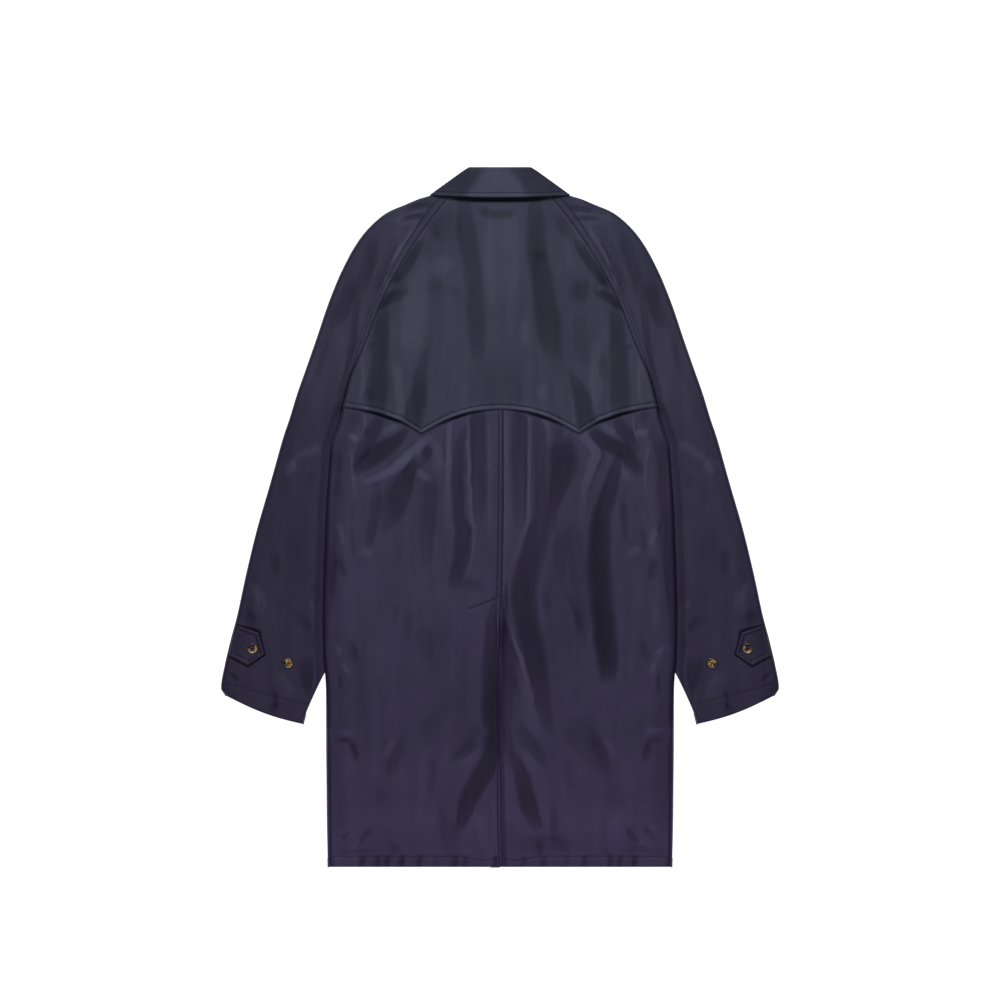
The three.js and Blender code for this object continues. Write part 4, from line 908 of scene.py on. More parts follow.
def stitches(name, path, material, pitch=4.3, length=3.1, radius=0.42, raised=0.16):
    """A row of thread stitches along a path of points that lie on the cloth."""
    along = np.concatenate([[0], np.cumsum(np.linalg.norm(np.diff(path, axis=0), axis=1))])
    count = int(along[-1] // pitch)
    at = lambda d: np.stack([np.interp(d, along, path[:, i]) for i in range(3)], -1)
    points, faces = [], []
    for start in (np.arange(count) + 0.5 * (along[-1] / pitch - count)) * pitch:
        a, b = at(start), at(start + length)
        forward = (b - a) / (np.linalg.norm(b - a) + 1e-9)
        across = np.cross([0, 0, 1.0], forward)
        across /= np.linalg.norm(across) + 1e-9
        base = len(points)
        for share, lift, size in STITCH:
            middle = a + (b - a) * share + np.array([0, 0, raised + lift])
            for k in range(STITCH_SIDES):
                angle = 2 * math.pi * k / STITCH_SIDES
                out = across * math.cos(angle) + np.array([0, 0, math.sin(angle)])
                points.append(middle + radius * size * out)
        for r in range(len(STITCH) - 1):
            for k in range(STITCH_SIDES):
                p = base + r * STITCH_SIDES + k
                q = base + r * STITCH_SIDES + (k + 1) % STITCH_SIDES
                faces.append((p, p + STITCH_SIDES, q + STITCH_SIDES, q))
        faces.append([base + k for k in range(STITCH_SIDES)])
        faces.append([base + (len(STITCH) - 1) * STITCH_SIDES + k for k in reversed(range(STITCH_SIDES))])
    return make_mesh(name, points, faces, material)


# A rolled edge: how far in from the edge, and how far down, both as shares.
ROLL = table(
    "inset drop",
    (1, 0), (0.74, 0.035), (0.52, 0.12), (0.33, 0.24), (0.18, 0.38), (0.07, 0.53), (0.01, 0.66),
    (0.02, 0.78), (0.1, 0.89), (0.27, 0.97), (0.55, 1), (1.3, 1),
)
# A free edge turned in, in millimetres: the cloth goes round and back under itself.
TURNED = table(
    "inset drop",
    (2, 0), (1.2, 0.08), (0.6, 0.32), (0.2, 0.75), (0, 1.3), (0.2, 1.85), (0.8, 2.35), (2, 2.6),
    (13, 2.6),
)


def turned_rows(edge):
    """Levels of a turned edge, from beneath and round it to the top: position and drop."""
    return [(edge + i, d) for i, d in zip(TURNED["inset"][::-1], TURNED["drop"][::-1])]


def turned_under(z, base, drop):
    """Lowers a turned edge by its drop, less where the layer it lies on leaves less room."""
    return z - drop * np.clip((z - base - 0.2) / 3, 0, 1)


# ---- Materials ----

STREAKS = 1.1  # how much the random streaks along a piece change its colour and roughness
GREY_NAVY = (0.036, 0.0365, 0.060)
PURPLE_NAVY = (0.032, 0.0225, 0.064)


class Nodes:
    """A short way to write a node tree."""

    def __init__(self, name):
        self.material = bpy.data.materials.new(name)
        self.material.use_nodes = True
        self.tree = self.material.node_tree
        self.shader = self.tree.nodes["Principled BSDF"]
        self.place = self.add("ShaderNodeTexCoord").outputs["Object"]

    def add(self, kind, inputs=(), **settings):
        node = self.tree.nodes.new(kind)
        for key, value in settings.items():
            setattr(node, key, value)
        for key, value in dict(inputs).items():
            if isinstance(value, bpy.types.NodeSocket):
                self.tree.links.new(value, node.inputs[key])
            else:
                node.inputs[key].default_value = value
        return node

    def link(self, source, key):
        self.tree.links.new(source, self.shader.inputs[key])

    def math(self, operation, a, b=0.0, c=0.0):
        return self.add("ShaderNodeMath", {0: a, 1: b, 2: c}, operation=operation).outputs[0]

    def plain(self, values):
        """Uniform values on the shader's own sockets."""
        for name, value in values.items():
            self.shader.inputs[name].default_value = value

    def scaled(self, vector, scale):
        inputs = {0: vector, "Scale": scale}
        return self.add("ShaderNodeVectorMath", inputs, operation="SCALE").outputs[0]

    def blend(self, a, b, c):
        """a times b plus c."""
        return self.math("MULTIPLY_ADD", a, b, c)

    def noise(self, place, scale, detail, distortion=0.0):
        inputs = {"Vector": place, "Scale": scale, "Detail": detail, "Distortion": distortion}
        return self.add("ShaderNodeTexNoise", inputs).outputs["Fac"]

    def tone_and_painted_light(self):
        return self.add("ShaderNodeAttribute", attribute_name="tone_and_painted_light").outputs["Fac"]

    def ramp(self, factor, *stops):
        node = self.add("ShaderNodeValToRGB", {"Fac": factor})
        ramp = node.color_ramp
        while len(ramp.elements) < len(stops):
            ramp.elements.new(0.5)
        for element, (position, colour) in zip(ramp.elements, stops):
            element.position = position
            element.color = (*colour, 1)
        return node.outputs["Color"]


def cloth_material(name, grey=0.3, dye_and_painted_light=1.0, roughness=0.46):
    """Navy satin. It is greyer or more purple from place to place, has soft streaks along the
    piece and a fine grain, and its tone_and_painted_light attribute paints shade and highlights into
    its colour and makes it rougher or glossier."""
    n = Nodes(name)
    mm = n.scaled(n.place, 1 / MM)
    drawn = n.add("ShaderNodeMapping", {"Vector": mm, "Scale": (1.0, 0.13, 1.0)}).outputs[0]
    axes = n.add("ShaderNodeSeparateXYZ", {0: mm}).outputs
    tone_and_painted_light = n.tone_and_painted_light()
    patch = n.noise(mm, 0.013, 3.0)
    streak = n.noise(drawn, 0.055, 3.5)
    fleck = n.noise(mm, 0.6, 3.0)
    # Painted light and shade from the attribute, with the random streaks.
    painted_light_and_streaks = n.blend(streak, STREAKS, n.math("ADD", tone_and_painted_light, -0.5 * STREAKS))
    # Greyer toward the collar and in random patches, greyer in the painted highlights and more purple in
    # the painted shade.
    place = n.blend(axes["Y"], 0.0006, n.blend(patch, 0.8, grey - 0.4))
    place = n.blend(painted_light_and_streaks, 0.14, place)
    purple = tuple(dye_and_painted_light * v for v in PURPLE_NAVY)
    plain = tuple(dye_and_painted_light * v for v in GREY_NAVY)
    colour = n.ramp(place, (0.1, purple), (0.9, plain))
    # The painted light and shade and a fine random grain scale the base colour.
    shade = n.blend(painted_light_and_streaks, 0.40, n.blend(fleck, 0.30, 0.84))
    shade = n.math("MAXIMUM", shade, 0.08)
    n.link(n.scaled(colour, shade), "Base Color")
    # Rougher in the painted shade, glossier in the painted highlights.
    rough = n.blend(painted_light_and_streaks, -0.12, n.blend(patch, 0.10, roughness - 0.05))
    n.link(n.math("MINIMUM", n.math("MAXIMUM", rough, 0.36), 1.0), "Roughness")
    twill = n.add(
        "ShaderNodeTexWave",
        {"Vector": mm, "Scale": 0.55, "Distortion": 0.6, "Detail": 1.0},
        wave_type="BANDS",
        bands_direction="DIAGONAL",
    ).outputs["Fac"]
    grain = n.blend(twill, 0.35, n.noise(mm, 0.25, 3.0))
    bump = n.add("ShaderNodeBump", {"Strength": 0.25, "Distance": 0.25 * MM, "Height": grain})
    n.link(bump.outputs["Normal"], "Normal")
    n.plain({"Specular IOR Level": 0.5, "Specular Tint": (0.70, 0.67, 1.0, 1)})
    return n.material


def button_material():
    """Glossy horn clouded from near black to amber, darker where the tone_and_painted_light attribute is
    low.
    """
    n = Nodes("tortoiseshell")
    mm = n.scaled(n.place, 1 / MM)
    cloud = n.noise(mm, 0.16, 2.5, 0.8)
    colour = n.ramp(
        n.blend(n.tone_and_painted_light(), 0.16, cloud),
        (0.36, (0.012, 0.006, 0.003)),
        (0.46, (0.20, 0.060, 0.012)),
        (0.54, (0.62, 0.33, 0.055)),
        (0.68, (0.86, 0.62, 0.20)),
    )
    n.link(colour, "Base Color")
    n.plain({"Roughness": 0.22, "Coat Weight": 0.5, "Coat Roughness": 0.12})
    return n.material


def floor_material():
    """A floor that stays near white under the dim lights."""
    n = Nodes("pale_floor")
    grain = n.add("ShaderNodeTexNoise", {"Vector": n.place, "Scale": 40.0}).outputs["Fac"]
    n.link(n.ramp(grain, (0.3, (0.93, 0.93, 0.935)), (0.7, (0.95, 0.95, 0.95))), "Base Color")
    n.plain({"Roughness": 0.9, "Specular IOR Level": 0.0})
    n.plain({"Emission Color": (1, 1, 1, 1), "Emission Strength": 0.95})
    return n.material


# The yoke and collar are painted lighter and the sleeves darker, as light and shade on copies of one
# cloth.
CLOTH = cloth_material("coat_cloth", grey=0.3)
YOKE_CLOTH = cloth_material("yoke_cloth", grey=0.85, dye_and_painted_light=1.06)
SLEEVE_CLOTH = cloth_material("sleeve_cloth", grey=0.4, dye_and_painted_light=0.86)
COLLAR_CLOTH = cloth_material("collar_cloth", grey=0.9, dye_and_painted_light=1.16)
THREAD = cloth_material("thread", dye_and_painted_light=0.5, roughness=0.6)
BUTTON_THREAD = cloth_material("button_thread", dye_and_painted_light=0.08, roughness=0.75)
HORN = button_material()

# ---- Body pieces ----

FRONT_LIFT = 1.35  # how much the right front rises where it lies on the left one
NECK_SCOOP = 48  # how far the front's neck is cut down in the middle
YOKE_PAST = 0.7  # how far the yoke passes the body's half width, into the raglan seam


def side_roll(y):
    """Plan width of the roll at the body's side."""
    pinched = bell(y + 195, 22) + bell(y + 310, 16)
    return 7 - 2 * pinched - 2.5 * ease(-40, 60, y) - 3.7 * ease(140, 165, y)


def hem_shape(x, y):
    """The groove of the hem's topstitching and the small puckers between it and the edge."""
    up = y - HEM_Y
    line = hem_line(x)
    shape = 0.35 * fade(line - 3, line + 3, up) - 0.45 * bell(up - line, 1.4)
    return shape - 0.9 * puckers(x, up, 2.4, 20)


def lapped_edge(seam, split):
    """The left back's columns at the centre: an edge turned in at the vent, with only a short
    turning in the seam above it, then close columns. Distances from the middle, with drops."""
    turn = 0.35 + 0.65 * split
    edge = [(-seam + i * turn, d * turn) for i, d in turned_rows(0)]
    start = -seam + 3 * turn
    return edge, [start + d for d in (0.7, 1.4, 2.2, 2.9, 3.5, 4.1, 4.7, 5.5, 6.5, 8, 10, 12.5, 15)]


def under_edge(seam, y):
    """The right back's columns at the centre, which reach under the left back in the vent."""
    under = float(ease(VENT_TOP_Y, VENT_SLANT_Y, y))
    first = (seam + 0.5) * (1 - under) + UNDERLAP_X * under
    start = seam + 1.2
    edge = [(first + (start - first) * k, 0.0) for k in (0, 0.02, 0.1, 0.3, 0.55, 0.8, 0.93, 1)]
    return edge, [start + d for d in (0.8, 1.6, 2.4, 3.4, 4.6, 6, 8, 10.5, 13.5)]


def at_centre(z, laps, off, split, y):
    """Heights with what the seam and the vent do to them, off millimetres from the seam."""
    if laps:
        z = z + 0.4 * fade(2, 10, off)
        return z - (0.3 - 0.15 * split) * bell(off - CENTRE_STITCH, 1.0)
    z = z - 2.8 * fade(0.5, 13, off) * ease(-84, VENT_TOP_Y, y)
    return z - 0.5 * fade(0, 3, off) * (1 - split)


def back_row(side, y, drop):
    """A row of a back panel from the centre to the side; drop is for the turned hem."""
    laps = side < 0
    seam = float(centre_seam(y))
    half = float(body_half(y))
    radius = float(side_roll(y))
    split = float(ease(VENT_TOP_Y + 4, VENT_TOP_Y - 12, y))
    edge, near = lapped_edge(seam, split) if laps else under_edge(seam, y)
    middle = np.linspace(near[-1], half - radius, 112)[1:-1]
    xs = np.array([x for x, _ in edge] + near + list(middle))
    drops = np.array([d for _, d in edge] + [0.0] * (len(near) + len(middle)))
    level = np.full_like(xs, y)
    z = back_top(side * xs, level) - drops
    z = at_centre(z, laps, xs + seam if laps else xs - seam, split, y)
    z = z + hem_shape(side * xs, level)
    # The side rolls round to the underside.
    edge_z = float(back_top(side * (half - radius), y))
    under_z = float(front_low(side * half, y)) if y < YOKE_SIDE_Y else edge_z - 1.3
    z = np.concatenate([z, edge_z - (edge_z - under_z) * ROLL["drop"]])
    xs = np.concatenate([xs, half - radius * ROLL["inset"]])
    return np.stack([side * xs, np.full_like(xs, y), turned_under(z, 0, drop)], -1)


def back_panel(side):
    """A back panel; the left one laps over the right one down the centre."""
    ys = np.concatenate([
        steps(HEM_Y + 4, HEM_Y + 24, 1.6), steps(HEM_Y + 24, 96, 3.1)[1:], steps(96, 160, 1.6)[1:],
        steps(160, 420, 12)[1:], steps(420, NECK_Y, 3)[1:],
    ])
    levels = turned_rows(HEM_Y) + [(y, 0.0) for y in ys]
    grid = np.array([back_row(side, y, drop) for y, drop in levels])
    tone_and_painted_light = back_painted_light(grid[..., 0], grid[..., 1])
    return shell(f"back_{HANDS[side]}_cloth", grid, CLOTH, flip=side < 0, tone_and_painted_light=tone_and_painted_light)


def front_panel(side):
    """A front panel on the floor; the right one lies on the left one where they overlap."""
    grid = []
    for y in steps(HEM_Y + 1.5, 440, 8):
        half = float(body_half(y)) - 1.3 * float(side_roll(y)) - 0.5
        xs = np.concatenate([steps(-FRONT_OVERLAP, 60, 6), np.linspace(60, half, 24)[1:]])
        scoop = 1 - np.clip((xs - FRONT_OVERLAP) / (NECK_SIDE_X - FRONT_OVERLAP), 0, 1) ** 1.6
        z = front_low(side * xs, np.full_like(xs, y))
        if side > 0:
            z = z + FRONT_LIFT * fade(FRONT_OVERLAP, FRONT_OVERLAP + 20, xs)
        grid.append(np.stack([side * xs, y - NECK_SCOOP * scoop * ease(150, 440, y), z], -1))
    return shell(f"front_{HANDS[side]}_cloth", np.array(grid), CLOTH, flip=side > 0)


def yoke():
    """The yoke over both backs, from its free edge, turned in, to the neck seam."""
    across = steps(-1, 1, 1 / 115)
    close_rows = (4, 4.8, 5.5, 6.1, 6.7, 7.3, 7.9, 8.6, 9.5, 10.8, 12.4, 14.4)
    even_rows = steps(17, NECK_Y - YOKE_SIDE_Y, 3)
    grid = []
    for above, drop in turned_rows(0) + [(a, 0.0) for a in (*close_rows, *even_rows)]:
        level = YOKE_SIDE_Y + above
        half = float(body_half(level)) + YOKE_PAST
        x = across * half
        # The rows follow the free edge low down and are straight from 130 mm up.
        hang = (1 - np.clip(above / 130, 0, 1)) ** 1.3
        shift = yoke_edge(across * YOKE_EDGE["x"][-1]) - YOKE_SIDE_Y
        y = level + shift * hang
        z = yoke_top(x, y) - drop
        slope = (yoke_edge(x + 1) - yoke_edge(x - 1)) / 2
        z = z - 0.3 * bell((y - yoke_stitch(x)) / np.sqrt(1 + slope**2), 1.0)
        # Down into the raglan seam.
        near = 1 - np.clip((half - np.abs(x)) / 3.2, 0, 1)
        grid.append(np.stack([x, y, z - 1.1 * near**2], -1))
    grid = np.array(grid)
    return shell("yoke_cloth", grid, YOKE_CLOTH, tone_and_painted_light=yoke_painted_light(grid[..., 0], grid[..., 1]))


# ---- Sleeves ----

LAST_SECTION = len(SLEEVE["inner_x"]) - 1
SLEEVE_LAP = 3.5  # how far the sleeve reaches under the body's side
SEAM_GAP = 0.15  # between the sleeve and the body in the raglan seam
CUFF_SAG = 5  # how far the cuff's edge bows out in its middle
STITCH_TOP_Y = 452  # the raglan stitches end here, under the collar
sleeve_line = lines_of(SLEEVE)


def along_sleeve():
    """Turns a distance from the cuff into a place between the sleeve's sections."""
    t = np.linspace(0, LAST_SECTION, 2000)
    x = (sleeve_line["inner_x"](t) + sleeve_line["outer_x"](t)) / 2
    y = (sleeve_line["inner_y"](t) + sleeve_line["outer_y"](t)) / 2
    length = np.concatenate([[0], np.cumsum(np.hypot(np.diff(x), np.diff(y)))])
    return lambda d: float(np.interp(d, length, t)), length[-1]


def sleeve_ends(t):
    """Inner and outer end of a section in plan, and how far it is joined to the body, 0 to 1."""
    ix, iy, ox, oy = (float(line(t)) for line in sleeve_line.values())
    half = float(body_half(iy))
    joined = float(ease(YOKE_SIDE_Y - 3, YOKE_SIDE_Y + 5, iy))
    lapped = half - SLEEVE_LAP
    if joined:
        ix = lapped + (half + SEAM_GAP - lapped) * joined
    else:
        tucked = float(ease(UNDERARM_ROW - 2.5, UNDERARM_ROW - 1.5, t))
        ix = ix + (min(ix, lapped) - ix) * tucked
    return ix, iy, ox, oy, joined


def seam_stitch(y):
    """Distance of the raglan topstitching from its seam."""
    return 6.2 + 4.6 * float(ease(300, 440, y))


def sleeve_row(side, t, distance, drop):
    """A row of a sleeve's upper layer at section t: its points, their distances from the overarm,
    and where the raglan stitches cross it, or None where there are none."""
    ix, iy, ox, oy, joined = sleeve_ends(t)
    width = math.hypot(ox - ix, oy - iy)
    r_out = 1.0 + 4.5 * float(ease(LAST_SECTION, LAST_SECTION - 3, t))
    r_in = 3.5 - 2.3 * joined
    scale = min(1.0, (width - 6) / 30)
    near = np.array([2, 3, 4, 5, 5.7, 6.4, 7.2, 8.2, 9.2, 10, 10.8, 11.8, 13, 15]) * scale + r_in * 0.6
    middle = np.linspace(near[-1], width - r_out, 58)[1:-1]
    offs = np.concatenate([r_in * ROLL["inset"][-2::-1], near, middle, width - r_out * ROLL["inset"]])
    down = np.concatenate([ROLL["drop"][-2::-1], np.zeros(len(near) + len(middle)), ROLL["drop"]])
    share = offs / width
    x = ix + (ox - ix) * share
    y = iy + (oy - iy) * share - CUFF_SAG * float(ease(1.2, 0, t)) * np.sin(np.pi * np.clip(share, 0, 1))
    # The height over a roll is the height where the roll begins.
    level = np.clip(offs, r_in, width - r_out)
    z = sleeve_top(side * (ix + (ox - ix) * level / width), y, width - level)
    base = over_collar(side * x, y)
    z = z - np.where(offs < r_in, (z - base) * (1 - joined) + 1.6 * joined, z - base) * down
    groove = seam_stitch(iy)
    z = z - 0.2 * joined * bell(offs - groove, 1.0) - 0.35 * bell(CUFF_STITCH - distance, 1.6)
    stitch = None
    if joined == 1 and iy < STITCH_TOP_Y:
        stitch = (side * (ix + (ox - ix) * groove / width), iy + (oy - iy) * groove / width)
    return np.stack([side * x, y, turned_under(z, base, drop)], -1), width - offs, stitch


def sleeve_back(side):
    """The upper layer of a sleeve, and where its raglan and cuff stitches run."""
    at, length = along_sleeve()
    even_rows = np.concatenate([steps(4, 160, 1.6), steps(160, length, 3)[1:]])
    levels = turned_rows(0) + [(d, 0.0) for d in even_rows]
    grid, to_outer, seam_line = zip(*(sleeve_row(side, at(d), d, drop) for d, drop in levels))
    grid = np.array(grid)
    tone_and_painted_light = sleeve_painted_light(grid[..., 0], grid[..., 1], np.array(to_outer))
    piece = shell(f"sleeve_back_{HANDS[side]}_cloth", grid, SLEEVE_CLOTH, flip=side < 0, tone_and_painted_light=tone_and_painted_light)
    row = grid[int(np.argmin([abs(d - CUFF_STITCH) for d, _ in levels]))]
    return piece, [place for place in seam_line if place], [tuple(p[:2]) for p in row[12:-12]]


def sleeve_front(side):
    """The lower layer of a sleeve, flat on the floor."""
    at, length = along_sleeve()
    grid = []
    for distance in steps(2, length - 22, 9):
        t = at(distance)
        ix, iy, ox, oy, joined = sleeve_ends(t)
        width = math.hypot(ox - ix, oy - iy)
        start = 5.2 * (1 - joined) + 0.5 * joined
        share = np.linspace(start / width, 1 - 7.8 / width, 16)
        x = ix + (ox - ix) * share
        y = iy + (oy - iy) * share - CUFF_SAG * float(ease(1.2, 0, t)) * np.sin(np.pi * share)
        grid.append(np.stack([side * x, y, over_collar(side * x, y)], -1))
    return shell(f"sleeve_front_{HANDS[side]}_cloth", np.array(grid), SLEEVE_CLOTH, flip=side > 0)


# ---- Cuff tabs and buttons ----


def tab_outline():
    """The right tab's outline in plan, with its corners just rounded."""
    corners = pairs(TAB["x"], TAB["y"])
    loop = np.concatenate([steps(0, 1, 1 / 30)[:-1, None] * (b - a) + a
                           for a, b in zip(corners, np.roll(corners, -1, 0))])
    for _ in range(3):
        loop = (np.roll(loop, 1, 0) + 2 * loop + np.roll(loop, -1, 0)) / 4
    return loop


def from_tab_edge(x, y):
    """Distance of points in plan from the nearest side of the tab."""
    corners = pairs(TAB["x"], TAB["y"])
    return nearest(np.concatenate([corners, corners[:1]]), x, y)[0]


def from_tab_seam(plan):
    """How far points of the tab lie from the overarm seam."""
    across_x, across_y = TAB_SEAM_ACROSS
    return (TAB["x"][-1] - plan[:, 0]) * across_x - (plan[:, 1] - TAB["y"][-1]) * across_y


def tab_painted_light(plan, deep, free):
    """Painted shade on the tab, most of all at its seam, and painted highlights along its free edges."""
    upper = ease(-186, -172, plan[:, 1])
    painted_shade = 0.3 + 0.5 * fade(10, 30, from_tab_seam(plan))
    return (0.3 + 0.9 * upper) * fade(0.8, 2.2, deep) * free - painted_shade


# Rings of the tab's face, as shares of the way from its middle to its edge.
TAB_RINGS = (
    0.06, 0.2, 0.34, 0.46, 0.54, 0.6, 0.65, 0.69, 0.73, 0.77, 0.81, 0.85, 0.89, 0.93, 0.96, 0.985, 1,
)


def cuff_tab(side, sleeve):
    """A stitched tab that lies on its sleeve."""
    loop = tab_outline()
    middle = loop.mean(0)
    rings, rings_painted_light = [], []
    for share in TAB_RINGS:
        plan = middle + (loop - middle) * share
        seat = sleeve.at(plan * (side, 1))
        deep = from_tab_edge(*plan.T)
        free = ease(2, 9, from_tab_seam(plan))
        rings_painted_light.append(tab_painted_light(plan, deep, free))
        rounding = 1.1 * (1 - np.sqrt(np.clip(1 - (1 - np.clip(deep / 1.3, 0, 1)) ** 2, 0, 1)))
        lower = ease(-160, -205, plan[:, 1]) * fade(2, 14, deep)
        puff = 0.5 * fade(1, TAB_STITCH - 1, deep) * ease(0, 1.5, deep)
        z = seat[:, 2] + 2.3 + 0.7 * lower + puff - rounding
        z = z - 0.5 * free * bell(deep - TAB_STITCH, 1.0)
        rings.append(np.column_stack([plan * (side, 1), z]))
    rim_z = rings[-1][:, 2]
    for share, fall in ((0.998, 0.6), (0.985, 1.0), (0.9, 1.15), (0.5, 1.3), (0.1, 1.3)):
        plan = middle + (loop - middle) * share
        rings.append(np.column_stack([plan * (side, 1), rim_z - fall]))
        # painted shade on the tab's sides
        rings_painted_light.append(np.full(len(plan), -1.0))
    if side < 0:
        rings = [r[::-1] for r in rings]
        rings_painted_light = [r[::-1] for r in rings_painted_light]
    piece = disc(f"cuff_tab_{HANDS[side]}_cloth", rings, SLEEVE_CLOTH, rings_painted_light)
    return piece


def tab_stitch_line():
    """Where the right tab's stitches run: along its free sides, not along its seam."""
    loop = tab_outline()
    middle = loop.mean(0)
    inner = middle + (loop - middle) * (1 - TAB_STITCH / from_tab_edge(*middle[:, None])[0])
    kept = from_tab_seam(inner) > 8
    first = np.flatnonzero(kept & ~np.roll(kept, 1))[0]
    return np.roll(inner, -first, 0)[: kept.sum()]


# How far each button is turned, and the direction in which its horn is clouded.
BUTTONS = {
    "tab_button_left": (0.3, 2.1), "tab_button_right": (2.1, 1.3),
    "sleeve_button_left": (3.6, 3.7), "sleeve_button_right": (5.0, 5.6),
}
BUTTON_PROFILE = table(
    "radius height",
    (0.35, 1.7), (0.7, 1.7), (1.0, 1.7), (1.3, 1.7), (1.6, 1.7), (1.9, 1.7), (2.2, 1.7), (2.5, 1.72),
    (2.8, 1.75), (3.2, 1.8), (4, 1.95), (4.8, 2.25), (5.5, 2.7), (6.1, 3.0), (6.8, 3.1), (7.5, 2.9),
    (8.0, 2.45), (8.2, 1.9), (8.1, 1.3), (7.5, 0.75), (6, 0.35), (3, 0.2), (0.5, 0.2),
)
HOLED_RINGS = 10  # of the profile, from the middle out
HOLE_AXIS = (0.914, 0.406)  # the way the tab's buttonhole runs, on the wearer's right
HOLE_OFFSET = 1.9
HOLE_RADIUS = 0.95
HOLE_DEPTH = 1.3


def button(node):
    """A button with four holes in the place of its CAD node, and the threads that belong to it."""
    low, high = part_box(node)
    middle = ((Vector(low) + Vector(high)) / 2 - MIDDLE) / MM
    base = (low.z - MIDDLE.z) / MM
    turn, dark_side = BUTTONS[node]
    holes = [turn + math.pi / 4 + k * math.pi / 2 for k in range(4)]
    angles = np.linspace(0, 2 * math.pi, 72, endpoint=False)
    rings, shades = [], []
    for i, (radius, height) in enumerate(zip(BUTTON_PROFILE["radius"], BUTTON_PROFILE["height"])):
        x, y = radius * np.cos(angles), radius * np.sin(angles)
        z = np.full_like(x, base + height)
        for a in holes if i < HOLED_RINGS else ():
            away = np.hypot(x - HOLE_OFFSET * math.cos(a), y - HOLE_OFFSET * math.sin(a))
            z = z - HOLE_DEPTH * fade(HOLE_RADIUS * 0.75, HOLE_RADIUS * 1.15, away)
        rings.append(np.stack([middle.x + x, middle.y + y, z], -1))
        # lighter from the middle out, near black at the rim, clouded dark toward one side
        ring = 0.9 * ease(0.6, 2.2, radius) - 4.5 * ease(6.4, 7.5, radius)
        clouded = 3.4 * np.maximum(np.cos(angles - dark_side), 0) ** 2 * ease(1.8, 4, radius)
        shades.append(ring - clouded - 0.6)
    body = disc(f"{node}_horn", rings, HORN, shades)
    return body, button_threads(node, middle, base, holes)


def button_threads(node, middle, base, holes):
    """The two stitches that cross in a button's holes and, on a tab, the buttonhole beneath."""
    centre = np.array([middle.x, middle.y, base + 1.75])
    sewn = []
    for i, a in enumerate(holes[:2]):
        d = np.array([math.cos(a), math.sin(a), 0]) * HOLE_OFFSET
        sewn.append(stitches(
            f"{node}_thread_{i}", np.array([centre - d, centre + d]), BUTTON_THREAD,
            pitch=2 * HOLE_OFFSET - 0.05, length=2 * HOLE_OFFSET - 0.1, radius=0.5, raised=0.25,
        ))
    if node.startswith("tab"):
        side = -1 if node.endswith("left") else 1
        reach = np.array([side * HOLE_AXIS[0], HOLE_AXIS[1], 0])
        seat = np.array([middle.x, middle.y, base + 0.15])
        slit = np.array([seat - 5 * reach, seat + 10.4 * reach])
        sewn.append(stitches(
            f"buttonhole_{HANDS[side]}", slit, BUTTON_THREAD, pitch=15.3, length=15.2, radius=1.25,
        ))
    return sewn


# ---- Collar ----

# Rows of the leaf round its roll, from beneath: millimetres in from the roll's crest, share of the
# roll's depth and share of the leaf's bow.
LEAF_ROLL = (
    (6, 1, 0), (3.5, 0.98, 0), (1.6, 0.9, 0), (0.5, 0.74, 0), (0, 0.5, 0), (0.45, 0.26, 0),
    (1.6, 0.09, 0.06), (3.4, 0.02, 0.16),
)


def leaf_frames(count):
    """Frames round the neck from the left point to the right point: place in the LEAF table, side,
    the table's values, the roll, the ways along the leaf and out of it, and the leaf's width."""
    last = len(LEAF["roll_x"]) - 1
    u = np.concatenate([np.linspace(last, 0, count), np.linspace(0, last, count)[1:]])
    side = np.concatenate([-np.ones(count), np.ones(count - 1)])
    v = {name: line(u) for name, line in lines_of(LEAF).items()}
    roll = pairs(side * v["roll_x"], v["roll_y"])
    edge = pairs(side * v["edge_x"], v["edge_y"])
    width = np.linalg.norm(edge - roll, axis=1)
    along = (edge - roll) / width[:, None]
    sideways = pairs(-along[:, 1] * side, along[:, 0] * side)
    turn = np.radians(np.clip(v["turn"], 0, 180))
    facing = np.concatenate([sideways * np.sin(turn)[:, None], np.cos(turn)[:, None]], -1)
    roll = np.concatenate([roll, np.full((len(u), 1), COLLAR_MID)], -1)
    along = np.concatenate([along, np.zeros((len(u), 1))], -1)
    return u, side, v, roll, along, facing, width


def collar_leaf():
    """The collar's outer leaf, folded round the neck to its two points."""
    _, _, v, roll, along, facing, width = leaf_frames(84)

    def bowed(offset):
        """Heights of the leaf's outer face, offset millimetres from the roll."""
        bow = np.sin(np.pi * np.clip(offset / width * 1.02, 0, 1)) ** 0.7
        return v["height"] + bow * v["crown"]

    rows = [(np.full_like(width, step), v["height"] - sink * v["depth"] + bow * v["crown"])
            for step, sink, bow in LEAF_ROLL]
    rows += [(share * width, bowed(share * width)) for share in np.linspace(0.12, 0.72, 16)]
    for inset in (11, 10, 9.2, 8.4, 7.7, 7.1, 6.5, 5.9, 5.3, 4.6, 3.6):
        rows.append((width - inset, bowed(width - inset) - 0.35 * bell(inset - COLLAR_STITCH, 0.9)))
    for inset, drop in zip(TURNED["inset"], TURNED["drop"]):
        rows.append((width - inset, bowed(width - 3) - drop))
    offset, rise = (np.array(c) for c in zip(*rows))
    pucker = 0.22 * ripple(np.cumsum(np.ones_like(width)), np.zeros_like(width), 2.2, 21)
    near_edge = fade(2, 12, width - offset)
    rise = rise + near_edge * pucker * (offset > 0.5 * width)
    outer = roll + along * offset[..., None] + facing * rise[..., None]
    d_offset, d_rise = np.gradient(offset, axis=0), np.gradient(rise, axis=0)
    normal = facing * d_offset[..., None] - along * d_rise[..., None]
    tone_and_painted_light = leaf_painted_light(outer[..., 0], outer[..., 1], width - offset)
    return shell("collar_leaf_cloth", outer, COLLAR_CLOTH, flip=True, tone_and_painted_light=tone_and_painted_light, normal=normal)


